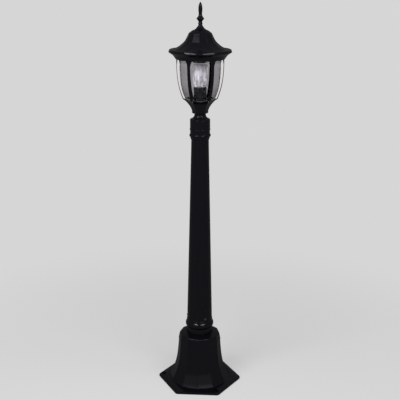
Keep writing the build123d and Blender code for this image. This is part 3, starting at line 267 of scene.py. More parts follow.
def black_enamel(name, colour):
    """Gloss black stoved enamel on cast aluminium."""
    # Sprayed and stoved enamel flows out to a deep gloss with a faint orange peel about 2.5 mm across, over
    # the slow waves of a sand casting. Dust lies on it in patches of about 9 mm, which are a shade greyer and
    # make the gloss uneven.
    finish, tree, coords, shader = new_finish(name)
    peel = add_noise(tree, coords, millimetres=2.5, detail=2.0)
    waves = add_noise(tree, coords, millimetres=24.0, detail=1.5)
    dust = add_noise(tree, coords, millimetres=9.0, detail=6.0)
    casting = add_relief(tree, waves, strength=0.2, metres=0.0005)
    skin = add_relief(tree, peel, strength=0.08, metres=0.0001, Normal=casting)
    set_shader(tree, shader, Base_Color=add_tones(tree, dust, shade(colour, 0.75), shade(colour, 1.35)),
               Roughness=add_range(tree, dust, low=0.3, high=0.5, start=0.3, end=0.7), Normal=casting,
               Specular_IOR_Level=0.0, Coat_Weight=0.13, Coat_IOR=1.5, Coat_Roughness=0.12, Coat_Normal=skin)
    return finish


def satin_black_steel(name, colour):
    """Satin black paint on pressed steel, for plates under the glass."""
    # A thinner coat than the castings': it is satin, and shows a fine even grain like eggshell.
    finish, tree, coords, shader = new_finish(name)
    grain = add_noise(tree, coords, millimetres=1.2, detail=3.0)
    set_shader(tree, shader, Base_Color=(*colour, 1.0),
               Roughness=add_range(tree, grain, low=0.34, high=0.5),
               Normal=add_relief(tree, grain, strength=0.15, metres=0.00008))
    return finish


def clear_bowl_glass(name, colour):
    """Blown soda-lime glass of the bowl."""
    # Blown glass has a faint smoky cast that deepens where the eye looks along the wall, and slow draws down
    # the wall, about 30 mm apart and taller than wide, that bend what is seen through it. Its lowest 50 mm
    # is darkened with painted shade, which shows where the eye looks along the wall. Its gloss is weak, so it
    # shows pale panes only at its edges.
    finish, tree, coords, shader = new_finish(name)
    stretched = add_node(tree, "ShaderNodeMapping", inputs={"Vector": coords, "Scale": (1.0, 1.0, 0.35)})
    draws = add_noise(tree, stretched.outputs["Vector"], millimetres=30.0, detail=2.0)
    level = add_node(tree, "ShaderNodeSeparateXYZ", inputs={"Vector": coords})
    # painted shade: the bowl's lowest part darkens to grey where the eye looks along the wall
    low_shade = add_range(tree, level.outputs["Z"], low=1.0, high=0.0, start=LOW_SHADE_FULL, end=LOW_SHADE_END,
                     kind="SMOOTHSTEP")
    along = add_node(tree, "ShaderNodeLayerWeight", inputs={"Blend": 0.5})
    shade_cover = add_node(tree, "ShaderNodeMath", {"operation": "MULTIPLY", "use_clamp": True}, {
        0: low_shade, 1: along.outputs["Facing"]})
    # the grey here is the painted shade's colour, mixed in where the mask above is strong
    shaded_tone = add_tones(tree, shade_cover.outputs["Value"], (1.0, 1.0, 1.0), linear("#605c62"))
    set_shader(tree, shader, Base_Color=shaded_tone, Roughness=0.02, Transmission_Weight=1.0, IOR=1.3,
               Normal=add_relief(tree, draws, strength=0.2, metres=0.0008),
               Specular_Tint=(0.3, 0.3, 0.3, 1.0))
    # The studio lights shine straight through the glass onto what stands inside.
    path = add_node(tree, "ShaderNodeLightPath")
    clear = add_node(tree, "ShaderNodeBsdfTransparent", inputs={"Color": (1.0, 1.0, 1.0, 1.0)})
    mixed = add_node(tree, "ShaderNodeMixShader", inputs={
        0: path.outputs["Is Shadow Ray"], 1: shader.outputs["BSDF"], 2: clear.outputs["BSDF"]})
    smoke = add_node(tree, "ShaderNodeVolumeAbsorption", inputs={
        "Color": (*colour, 1.0), "Density": SMOKE_DENSITY})
    output = next(node for node in tree.nodes if node.bl_idname == "ShaderNodeOutputMaterial")
    tree.links.new(mixed.outputs["Shader"], output.inputs["Surface"])
    tree.links.new(smoke.outputs["Volume"], output.inputs["Volume"])
    return finish


def pearl_lamp_glass(name, colour):
    """Thin lamp envelope, etched inside to a light pearl."""
    # Inside etching scatters part of the light, so the tube glows softly where the studio lights reach it and
    # the wires show only as shadows; the etch runs down the tube in soft streaks about 11 mm apart.
    finish, tree, coords, shader = new_finish(name)
    stretched = add_node(tree, "ShaderNodeMapping", inputs={"Vector": coords, "Scale": (1.0, 1.0, 0.3)})
    streaks = add_noise(tree, stretched.outputs["Vector"], millimetres=11.0, detail=2.0)
    set_shader(tree, shader, Base_Color=(*colour, 1.0), IOR=1.5,
               Roughness=add_range(tree, streaks, low=0.1, high=0.25, start=0.35, end=0.65),
               Transmission_Weight=add_range(tree, streaks, low=0.6, high=0.05, start=0.4, end=0.6))
    return finish


def moulded_plastic(name, colour, roughness, grain_mm, ior=1.5):
    """Injection-moulded plastic with a spark-eroded mould grain."""
    # The mould's spark-eroded skin leaves a fine matt grain and slightly cloudy colour.
    finish, tree, coords, shader = new_finish(name)
    grain = add_noise(tree, coords, millimetres=grain_mm, detail=2.0)
    cloud = add_noise(tree, coords, millimetres=14.0, detail=2.0)
    set_shader(tree, shader, Base_Color=add_tones(tree, cloud, shade(colour, 0.9), shade(colour, 1.1)),
               Roughness=add_range(tree, grain, low=roughness - 0.08, high=roughness + 0.08), IOR=ior,
               Normal=add_relief(tree, grain, strength=0.2, metres=0.00006))
    return finish


def worked_metal(name, colour, roughness, tarnish, cloud_mm):
    """Bare or plated metal with a patchy surface."""
    # Plating and handling leave soft patches that are duller and a shade darker than the rest.
    finish, tree, coords, shader = new_finish(name)
    patches = add_noise(tree, coords, millimetres=cloud_mm, detail=4.0)
    set_shader(tree, shader, Base_Color=add_tones(tree, patches, colour, shade(colour, tarnish)),
               Roughness=add_range(tree, patches, low=roughness - 0.06, high=roughness + 0.12),
               Metallic=1.0)
    return finish


def soft_rubber(name, colour, roughness):
    """Moulded or extruded black rubber."""
    # Carbon-filled rubber is dull, with a powdery bloom that greys it in patches of a few millimetres.
    finish, tree, coords, shader = new_finish(name)
    bloom = add_noise(tree, coords, millimetres=4.0, detail=5.0)
    set_shader(tree, shader, Base_Color=add_tones(tree, bloom, colour, shade(colour, 1.8)),
               Roughness=roughness, Specular_IOR_Level=0.35,
               Normal=add_relief(tree, bloom, strength=0.2, metres=0.0001))
    return finish


RECIPES = {
    # colour, roughness, grain in millimetres, index of refraction; old phenolic is dull and mirrors little
    "moulded_black_phenolic": (moulded_plastic, "#1f1e21", 0.4, 0.8, 1.25),
    "moulded_grey_abs": (moulded_plastic, "#8c8f92", 0.45, 1.0),
    "moulded_natural_nylon": (moulded_plastic, "#ddd7c9", 0.4, 1.0),
    "moulded_black_nylon": (moulded_plastic, "#1b1b1c", 0.42, 0.8),
    "fired_steatite_ceramic": (moulded_plastic, "#e4dfd2", 0.6, 0.6, 1.55),
    "black_lamp_base_glass": (moulded_plastic, "#101014", 0.12, 2.0, 1.52),
    # colour, roughness, shade of the dull patches, their size in millimetres
    "zinc_plated_steel": (worked_metal, "#a3a6a8", 0.36, 0.75, 5.0),
    "stainless_steel": (worked_metal, "#cbc9c4", 0.26, 0.85, 3.0),
    "dulled_set_screw_steel": (worked_metal, "#5c5c5f", 0.4, 0.7, 2.0),
    "turned_brass": (worked_metal, "#c9a45c", 0.28, 0.7, 4.0),
    "rolled_lamp_cap_aluminium": (worked_metal, "#d4d3cf", 0.3, 0.85, 6.0),
    "tin_solder": (worked_metal, "#bcbcb8", 0.4, 0.7, 1.5),
    "drawn_tungsten_wire": (worked_metal, "#5b5a5a", 0.4, 0.8, 1.0),
    # colour, and for the rubbers roughness
    "black_rubber": (soft_rubber, "#1a1a1a", 0.75),
    "black_cable_rubber": (soft_rubber, "#1f1f20", 0.6),
    "satin_black_paint_on_steel": (satin_black_steel, "#141416"),
}

SLOT_FINISHES = {
    "black_paint": "black_gloss_enamel_on_cast_aluminium", "seat_steel": "satin_black_paint_on_steel",
    "clear_glass": "blown_clear_soda_lime_glass", "lamp_glass": "pearl_etched_lamp_glass",
    "holder_plastic": "moulded_black_phenolic", "box_plastic": "moulded_grey_abs",
    "terminal_plastic": "moulded_natural_nylon", "gland_plastic": "moulded_black_nylon",
    "ceramic": "fired_steatite_ceramic", "black_glass": "black_lamp_base_glass",
    "zinc_steel": "zinc_plated_steel", "stainless": "stainless_steel", "brass": "turned_brass",
    "lamp_cap_aluminium": "rolled_lamp_cap_aluminium", "solder": "tin_solder",
    "filament_wire": "drawn_tungsten_wire", "rubber": "black_rubber", "cable_sheath": "black_cable_rubber",
}


def finish_named(name):
    """Gives the finish of that name, mixed once and then shared."""
    if name in bpy.data.materials:
        return bpy.data.materials[name]
    if name in RECIPES:
        mix, colour, *values = RECIPES[name]
        return mix(name, linear(colour), *values)
    colours = bpy.context.scene.lantern_finishes
    mix, colour = {
        "black_gloss_enamel_on_cast_aluminium": (black_enamel, colours.enamel),
        "blown_clear_soda_lime_glass": (clear_bowl_glass, colours.bowl_glass),
        "pearl_etched_lamp_glass": (pearl_lamp_glass, colours.lamp_glass),
    }[name]
    return mix(name, colour)


def dress(piece, slot, body, *nodes):
    """Gives a finished piece its finish and its body, and hides the frame nodes it stands for."""
    piece.data.materials.clear()
    piece.data.materials.append(finish_named(SLOT_FINISHES[slot]))
    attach(piece, body)
    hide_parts(*nodes)


def select_only(*pieces):
    """Leaves only these pieces selected, the first of them active."""
    bpy.ops.object.select_all(action="DESELECT")
    for piece in pieces:
        piece.select_set(True)
    bpy.context.view_layer.objects.active = pieces[0]


def fix_place():
    """Takes the selected pieces' place, turn and size into their meshes."""
    bpy.ops.object.transform_apply(location=True, rotation=True, scale=True)


def start_edit(kind, action="DESELECT"):
    """Opens the active piece, with none or all of its points, edges or faces selected."""
    bpy.ops.object.mode_set(mode="EDIT")
    bpy.ops.mesh.select_mode(type=kind)
    bpy.ops.mesh.select_all(action=action)


def end_edit():
    """Turns every face of the open piece outwards and closes it."""
    bpy.ops.mesh.select_all(action="SELECT")
    bpy.ops.mesh.normals_make_consistent(inside=False)
    bpy.ops.object.mode_set(mode="OBJECT")


def raise_rings(name, outline, sides=96, turn=0.0):
    """Starts a ring at the outline's first point and extrudes it from point to point, as on a lathe."""
    bpy.ops.object.select_all(action="DESELECT")
    radius, height = outline[0]
    bpy.ops.mesh.primitive_circle_add(vertices=sides, radius=radius * MM, location=(0, 0, height * MM),
                                      rotation=(0, 0, math.radians(turn)))
    piece = bpy.context.active_object
    piece.name = name
    piece.data.name = name
    fix_place()
    start_edit("VERT", "SELECT")
    for (near, low), (far, high) in zip(outline, outline[1:]):
        bpy.ops.mesh.extrude_region_move(TRANSFORM_OT_translate={"value": (0, 0, (high - low) * MM)})
        if far == 0:
            bpy.ops.mesh.merge(type="CENTER")
        elif far != near:
            share = far / near
            bpy.ops.transform.resize(value=(share, share, 1), center_override=(0, 0, high * MM))
    bpy.ops.mesh.select_all(action="SELECT")
    bpy.ops.mesh.remove_doubles(threshold=WELD)
    end_edit()
    return piece


def place(piece, shift=(0, 0, 0), tip=0.0, turn=0.0):
    """Tips a piece forwards about the level axis, shifts it, turns it about the post, and fixes it there."""
    select_only(piece)
    piece.rotation_euler = (0, math.radians(tip), 0)
    piece.location = [step * MM for step in shift]
    fix_place()
    piece.rotation_euler = (0, 0, math.radians(turn))
    fix_place()
    return piece


def cap_open_ends(piece):
    """Closes every open ring of a piece with a face."""
    select_only(piece)
    start_edit("VERT")
    bpy.ops.mesh.select_non_manifold()
    bpy.ops.mesh.edge_face_add()
    end_edit()


def apply_modifier(piece, kind, **settings):
    """Adds a modifier with its settings and applies it."""
    select_only(piece)
    modifier = piece.modifiers.new(kind.lower(), kind)
    for name, value in settings.items():
        setattr(modifier, name, value)
    bpy.ops.object.modifier_apply(modifier=modifier.name)


def soften(piece, width, angle=40.0, segments=2, smooth=40.0):
    """Rounds the edges sharper than an angle and evens the shading of the flats between them."""
    apply_modifier(piece, "BEVEL", width=width * MM, segments=segments, limit_method="ANGLE",
                   angle_limit=math.radians(angle), use_clamp_overlap=True)
    select_only(piece)
    bpy.ops.object.shade_smooth_by_angle(angle=math.radians(smooth))
    apply_modifier(piece, "WEIGHTED_NORMAL", keep_sharp=True, weight=60)


def turn_part(name, outline, sides, width, angle=40.0):
    """Turns a round part from its outline and rounds its edges."""
    part = raise_rings(name, outline, sides=sides)
    soften(part, width, angle=angle)
    return part


def round_ridges(piece, low, high, width, segments=3):
    """Rounds the upright ridges of a many-sided piece between two heights."""
    select_only(piece)
    start_edit("EDGE")
    bpy.ops.object.mode_set(mode="OBJECT")
    points = piece.data.vertices
    for edge in piece.data.edges:
        a, b = (points[i].co for i in edge.vertices)
        upright = a.xy.length > AXIS_ROOM and abs(a.xy.angle_signed(b.xy, 0.0)) < RIDGE_TWIST
        inside = min(a.z, b.z) >= low * MM and max(a.z, b.z) <= high * MM
        if upright and inside and abs(a.z - b.z) > RIDGE_RISE:
            edge.select = True
    bpy.ops.object.mode_set(mode="EDIT")
    bpy.ops.mesh.bevel(offset=width * MM, segments=segments, profile=0.5, affect="EDGES")
    bpy.ops.object.mode_set(mode="OBJECT")


def cut(piece, cutter):
    """Cuts one piece with another and throws the cutter away."""
    apply_modifier(piece, "BOOLEAN", operation="DIFFERENCE", solver="EXACT", object=cutter)
    bpy.data.objects.remove(cutter)


def join(*pieces):
    """Joins pieces into the first."""
    select_only(*pieces)
    bpy.ops.object.join()
    return pieces[0]


def turned_copies(piece, count, first=0.0):
    """Copies a piece round the post at equal steps, each copy with its own mesh, and joins them."""
    copies = [piece]
    while len(copies) < count:
        select_only(piece)
        bpy.ops.object.duplicate(linked=False)
        copies.append(bpy.context.active_object)
    for step, copy in enumerate(copies):
        place(copy, turn=first + 360 * step / count)
    return join(*copies)


def drill(radius, low, high, away, angle):
    """A drill bit that stands between two heights, away from the post by a distance."""
    bit = raise_rings("drill", [(radius, low), (radius, high)], sides=40)
    cap_open_ends(bit)
    return place(bit, shift=(away, 0, 0), turn=angle)


def level_drill(radius, near, far, height, angle):
    """A drill bit that lies level at a height and points at the post."""
    bit = raise_rings("drill", [(radius, near), (radius, far)], sides=32)
    cap_open_ends(bit)
    return place(bit, shift=(0, 0, height), tip=90.0, turn=angle)


class LanternSizes(bpy.types.PropertyGroup):
    """Small sizes of the dressed pieces."""
    ridge_rounding: bpy.props.FloatProperty(
        name="Ridge rounding", description="How far the castings' ridges are rounded, in millimetres",
        default=1.1, min=0.1, max=3.0)
    corner_rounding: bpy.props.FloatProperty(
        name="Corner rounding", description="How far the foot plate's corners are rounded, in millimetres",
        default=6.0, min=1.0, max=12.0)
    rib_width: bpy.props.FloatProperty(
        name="Rib width", description="Width of a rib of the head, in millimetres",
        default=9.6, min=6.0, max=14.0)
    rib_thickness: bpy.props.FloatProperty(
        name="Rib thickness", description="Thickness of a rib of the head, in millimetres",
        default=1.4, min=0.8, max=3.0)
    flute_depth: bpy.props.FloatProperty(
        name="Flute depth", description="How deep the post's flutes are, in millimetres",
        default=1.7, min=0.5, max=3.0)
    flute_foot: bpy.props.FloatProperty(
        name="Flute foot", description="Radius of a flute at the post's foot, in millimetres",
        default=10.0, min=6.0, max=14.0)
    flute_head: bpy.props.FloatProperty(
        name="Flute head", description="Radius of a flute at the post's top, in millimetres",
        default=7.0, min=4.0, max=10.0)
    bracket_width: bpy.props.FloatProperty(
        name="Bracket width", description="Width of a rib's bracket under the roof, in millimetres",
        default=18.7, min=12.0, max=24.0)


class LanternFinishes(bpy.types.PropertyGroup):
    """Colours of the main finishes."""
    enamel: bpy.props.FloatVectorProperty(
        name="Enamel", description="Colour of the gloss enamel", subtype="COLOR", size=3, min=0.0, max=1.0,
        default=linear("#09080c"))
    bowl_glass: bpy.props.FloatVectorProperty(
        name="Bowl glass", description="Tint of the glass bowl", subtype="COLOR", size=3, min=0.0, max=1.0,
        default=linear("#d5d3d6"))
    lamp_glass: bpy.props.FloatVectorProperty(
        name="Lamp glass", description="Tint of the lamp's envelope", subtype="COLOR", size=3, min=0.0,
        max=1.0, default=linear("#fbfafd"))
    floor: bpy.props.FloatVectorProperty(
        name="Floor", description="Colour of the floor and the backdrop", subtype="COLOR", size=3, min=0.0,
        max=1.0, default=linear("#d6d6d6"))


class LanternStudio(bpy.types.PropertyGroup):
    """Where the camera stands and how strong the lights are."""
    camera_distance: bpy.props.FloatProperty(
        name="Camera distance", description="Level distance from the post to the camera", unit="LENGTH",
        default=2.375)
    camera_height: bpy.props.FloatProperty(
        name="Camera height", description="Height of the camera over the ground", unit="LENGTH",
        default=1.306)
    camera_pitch: bpy.props.FloatProperty(
        name="Camera pitch", description="How far the camera looks down", subtype="ANGLE",
        default=math.radians(16.4))
    camera_side: bpy.props.FloatProperty(
        name="Camera side", description="How far the camera stands round to the right", subtype="ANGLE",
        default=math.radians(3.6))
    camera_turn: bpy.props.FloatProperty(
        name="Camera turn", description="How far the camera looks to the right of the post", subtype="ANGLE",
        default=math.radians(0.008))
    camera_roll: bpy.props.FloatProperty(
        name="Camera roll", description="How far the camera leans", subtype="ANGLE",
        default=math.radians(0.15))
    left_strip: bpy.props.FloatProperty(
        name="Left strip", description="Power of the strip light over the left shoulder", unit="POWER",
        default=30.0)
    right_strip: bpy.props.FloatProperty(
        name="Right strip", description="Power of the strip light over the right shoulder", unit="POWER",
        default=22.0)
    overhead: bpy.props.FloatProperty(
        name="Overhead", description="Power of each soft light overhead", unit="POWER", default=6.0)
    tall_lights: bpy.props.FloatProperty(
        name="Tall lights", description="Power of each tall soft light beside the camera", unit="POWER",
        default=12.0)
    sky: bpy.props.FloatProperty(
        name="Sky", description="Strength of the even light from all round", default=0.15, min=0.0, max=1.0)


class LANTERN_OT_foot_and_bell(bpy.types.Operator):
    """Models the six-sided foot plate and the twelve-sided bell on it"""
    bl_idname = "lantern.foot_and_bell"
    bl_label = "Foot and Bell"

    def execute(self, context):
        sizes = context.scene.lantern_sizes
        plate = raise_rings("foot_and_bell", PLATE, sides=6, turn=30.0)
        cap_open_ends(plate)
        round_ridges(plate, low=-0.1, high=7.1, width=sizes.corner_rounding, segments=5)
        soften(plate, 1.6, angle=50.0, segments=3)
        cut(plate, drill(PLATE_MOUTH, low=-2.0, high=14.0, away=0.0, angle=0.0))
        for angle in THIRDS:
            cut(plate, drill(ANCHOR_HOLE, low=-2.0, high=14.0, away=ANCHOR_CIRCLE, angle=angle))
            cut(plate, drill(ANCHOR_SPOT, low=SPOT_LEVEL, high=14.0, away=ANCHOR_CIRCLE, angle=angle))
        bell = raise_rings("bell", BELL, sides=12)
        round_ridges(bell, low=12.0, high=163.5, width=sizes.ridge_rounding)
        soften(bell, 0.4, angle=33.0)
        dress(join(plate, bell), "black_paint", "stand", "base_casting")
        return {"FINISHED"}


class LANTERN_OT_collar(bpy.types.Operator):
    """Turns the collar between bell and post"""
    bl_idname = "lantern.collar"
    bl_label = "Collar"

    def execute(self, context):
        collar = raise_rings("collar", COLLAR, sides=128)
        for angle in THIRDS:
            cut(collar, level_drill(COLLAR_SCREW, near=30.0, far=46.0, height=COLLAR_SCREW_LEVEL,
                                    angle=angle))
        soften(collar, 0.3, angle=35.0)
        dress(collar, "black_paint", "stand", "base_collar")
        return {"FINISHED"}


class LANTERN_OT_post(bpy.types.Operator):
    """Raises the tapered post and ploughs its six flutes"""
    bl_idname = "lantern.post"
    bl_label = "Post"

    def execute(self, context):
        sizes = context.scene.lantern_sizes
        post = raise_rings("post", POST, sides=192)
        wide, narrow, depth = sizes.flute_foot, sizes.flute_head, sizes.flute_depth
        low, high = POST_FOOT[1] + FLUTE_FOOT_GAP, POST_HEAD[1] - FLUTE_HEAD_GAP
        slope = (POST_FOOT[0] - POST_HEAD[0]) / (POST_HEAD[1] - POST_FOOT[1])
        start = POST_FOOT[0] - slope * FLUTE_FOOT_GAP + wide - depth
        end = POST_HEAD[0] + slope * FLUTE_HEAD_GAP + narrow - depth
        length = math.hypot(high - low, start - end)
        rounded_ends = arc(0.0, 0.0, wide, -80, 0, 8) + arc(0.0, length, narrow, 0, 80, 8)
        plough = raise_rings("plough", rounded_ends, sides=56)
        cap_open_ends(plough)
        place(plough, shift=(start, 0, low), tip=-math.degrees(math.atan2(start - end, high - low)))
        cut(post, turned_copies(plough, FLUTES))
        soften(post, 0.25, angle=60.0, smooth=18.0)
        dress(post, "black_paint", "stand", "post_tube")
        return {"FINISHED"}


class LANTERN_OT_fitter(bpy.types.Operator):
    """Turns the fitter that carries the head"""
    bl_idname = "lantern.fitter"
    bl_label = "Fitter"

    def execute(self, context):
        fitter = raise_rings("fitter", FITTER, sides=128)
        for angle in HEAD_SCREW_ANGLES:
            cut(fitter, level_drill(HEAD_SCREW, near=20.0, far=34.0, height=HEAD_SCREW_LEVEL,
                                    angle=angle + HEAD_TURN))
        soften(fitter, 0.3, angle=35.0)
        dress(fitter, "black_paint", "head", "fitter")
        return {"FINISHED"}


class LANTERN_OT_cup(bpy.types.Operator):
    """Models the six-sided cup and its round neck"""
    bl_idname = "lantern.cup"
    bl_label = "Cup"

    def execute(self, context):
        sizes = context.scene.lantern_sizes
        cup = raise_rings("lantern_cup_casting", CUP, sides=6, turn=30.0 + HEAD_TURN)
        round_ridges(cup, low=878.5, high=918.9, width=sizes.ridge_rounding)
        for step in range(6):
            cut(cup, level_drill(CUP_SCALLOP, near=36.0, far=56.0, height=CUP_SCALLOP_LEVEL,
                                 angle=HEAD_TURN + 30.0 + 60.0 * step))
        soften(cup, 0.3, angle=62.0)
        neck = turn_part("neck", NECK, 96, 0.3)
        dress(join(cup, neck), "black_paint", "head", "lantern_cup")
        return {"FINISHED"}


class LANTERN_OT_cage(bpy.types.Operator):
    """Models a rib with its bracket, copies it six times round, and adds the top ring"""
    bl_idname = "lantern.cage"
    bl_label = "Cage"

    def execute(self, context):
        rib = self.strip(context.scene.lantern_sizes)
        rib = join(rib, self.foot_tab())
        soften(rib, 0.3, angle=50.0)
        ribs = turned_copies(rib, 6, HEAD_TURN)
        ring = raise_rings("cage_ring", CAGE_RING, sides=128)
        for angle in (HEAD_TURN, 180.0 + HEAD_TURN):
            cut(ring, drill(STRAP_SCREW, low=1040.0, high=1050.0, away=STRAP_SCREW_CIRCLE, angle=angle))
        soften(ring, 0.4)
        dress(join(ribs, ring), "black_paint", "head", "cage")
        return {"FINISHED"}

    def rib_radius(self, z):
        """How far a rib's outside stands from the axis at a level."""
        drop = (RIB_TOP - z) / (RIB_TOP - RIB_FOOT)
        return RIB_FOOT_RADIUS + RIB_SWELL * (1 - drop ** RIB_BOW)

    def block(self, size, centre):
        """Starts a piece from a block."""
        bpy.ops.object.select_all(action="DESELECT")
        bpy.ops.mesh.primitive_cube_add(size=1.0)
        block = bpy.context.active_object
        block.scale = [side * MM for side in size]
        block.location = [step * MM for step in centre]
        fix_place()
        return block

    def strip(self, sizes):
        """Extrudes a rib downwards from its bracket."""
        wide, thin = sizes.rib_width, sizes.rib_thickness
        spread = sizes.bracket_width - wide
        sections = [(z, wide + spread * share, thick) for z, share, thick in BRACKET]
        sections += [(z, wide, thin) for z in RIB_LEVELS]
        sections += [(z, wide, thin + (RIB_LEVELS[-1] - z) * RIB_THICKENING) for z in RIB_FOOT_LEVELS]
        z, width, thick = sections[0]
        middle = self.rib_radius(z) - thick / 2
        rib = self.block((thick, width, BRACKET_SLICE), (middle, 0, z - BRACKET_SLICE / 2))
        rib.name = "cage_ribs"
        start_edit("FACE")
        bpy.ops.object.mode_set(mode="OBJECT")
        for face in rib.data.polygons:
            face.select = face.normal.z < -0.9  # the underside
        bpy.ops.object.mode_set(mode="EDIT")
        level = z - BRACKET_SLICE
        for next_z, next_width, next_thick in sections[1:]:
            centre = self.rib_radius(next_z) - next_thick / 2
            bpy.ops.mesh.extrude_region_move(TRANSFORM_OT_translate={
                "value": ((centre - middle) * MM, 0, (next_z - level) * MM)})
            bpy.ops.transform.resize(value=(next_thick / thick, next_width / width, 1),
                                     center_override=(centre * MM, 0, next_z * MM))
            level, middle, width, thick = next_z, centre, next_width, next_thick
        bpy.ops.object.mode_set(mode="OBJECT")
        return rib

    def foot_tab(self):
        """The drilled tab that turns in from a rib's foot."""
        foot = self.rib_radius(RIB_FOOT)
        tab = self.block(TAB_SIZE, (foot - TAB_INSET, 0, TAB_LEVEL))
        cut(tab, drill(TAB_SCREW, low=917.0, high=922.0, away=foot - TAB_SCREW_INSET, angle=0.0))
        return tab


class LANTERN_OT_glass(bpy.types.Operator):
    """Blows the clear bowl with its rolled rim"""
    bl_idname = "lantern.glass"
    bl_label = "Glass Bowl"

    def execute(self, context):
        bowl = raise_rings("clear_bowl", BOWL, sides=128)
        select_only(bowl)
        bpy.ops.object.shade_smooth()
        dress(bowl, "clear_glass", "head", "glass_bowl")
        return {"FINISHED"}


class LANTERN_OT_lampholder(bpy.types.Operator):
    """Turns the black lampholder with its grip rings"""
    bl_idname = "lantern.lampholder"
    bl_label = "Lampholder"

    def execute(self, context):
        sleeve = turn_part("lampholder_sleeve", HOLDER_SLEEVE, 80, 0.2)
        dress(sleeve, "holder_plastic", "head", "holder_body")
        base = turn_part("lampholder_base", HOLDER_BASE, 80, 0.2)
        dress(base, "holder_plastic", "head", "holder_base")
        return {"FINISHED"}


class LANTERN_OT_lamp(bpy.types.Operator):
    """Blows the tubular lamp's envelope"""
    bl_idname = "lantern.lamp"
    bl_label = "Lamp"

    def execute(self, context):
        outer = raise_rings("lamp_envelope", ENVELOPE, sides=96)
        inner = raise_rings("lamp_inside", [self.inside(*point) for point in ENVELOPE], sides=96)
        envelope = join(outer, inner)
        start_edit("EDGE")
        bpy.ops.mesh.select_non_manifold()
        bpy.ops.mesh.bridge_edge_loops()
        end_edit()
        bpy.ops.object.shade_smooth_by_angle(angle=math.radians(50))
        dress(envelope, "lamp_glass", "lamp", "lamp_glass")
        return {"FINISHED"}

    def inside(self, radius, level):
        """The point inside the wall next to a point of the envelope."""
        if level < ENVELOPE_SHOULDER:
            return max(0.0, radius - ENVELOPE_WALL), level
        return radius * ENVELOPE_CROWN, level - ENVELOPE_WALL


class LANTERN_OT_roof(bpy.types.Operator):
    """Models the twelve-sided dome and turns the beaded brim under it"""
    bl_idname = "lantern.roof"
    bl_label = "Roof"

    def execute(self, context):
        sizes = context.scene.lantern_sizes
        dome = raise_rings("roof_casting", DOME, sides=12, turn=ROOF_TURN)
        round_ridges(dome, low=1069.5, high=1120.0, width=sizes.ridge_rounding)
        soften(dome, 0.3)
        brim = turn_part("brim", BRIM, 144, 0.3, angle=42.0)
        dress(join(dome, brim), "black_paint", "roof", "roof_shell")
        return {"FINISHED"}


class LANTERN_OT_finial(bpy.types.Operator):
    """Turns the finial's cap nut and its spear"""
    bl_idname = "lantern.finial"
    bl_label = "Finial"

    def execute(self, context):
        cap = turn_part("finial_nut", FINIAL_CAP, 64, 0.25, angle=42.0)
        dress(cap, "black_paint", "finial", "finial_cap")
        spear = raise_rings("finial_spearhead", FINIAL_SPEAR, sides=64)
        cap_open_ends(spear)
        soften(spear, 0.25, angle=42.0)
        dress(spear, "black_paint", "finial", "finial_spear")
        return {"FINISHED"}


class LANTERN_OT_fittings(bpy.types.Operator):
    """Gives every frame node its finish, for those that stay in view"""
    bl_idname = "lantern.fittings"
    bl_label = "Fittings"

    def execute(self, context):
        slots = {part["node"]: part["material_slot"] for part in frame["record"]["subparts"]}
        for node, part in frame["nodes"].items():
            part.data.materials.clear()
            finish = "dulled_set_screw_steel" if node == "collar_set_screws" else SLOT_FINISHES[slots[node]]
            part.data.materials.append(finish_named(finish))
        return {"FINISHED"}


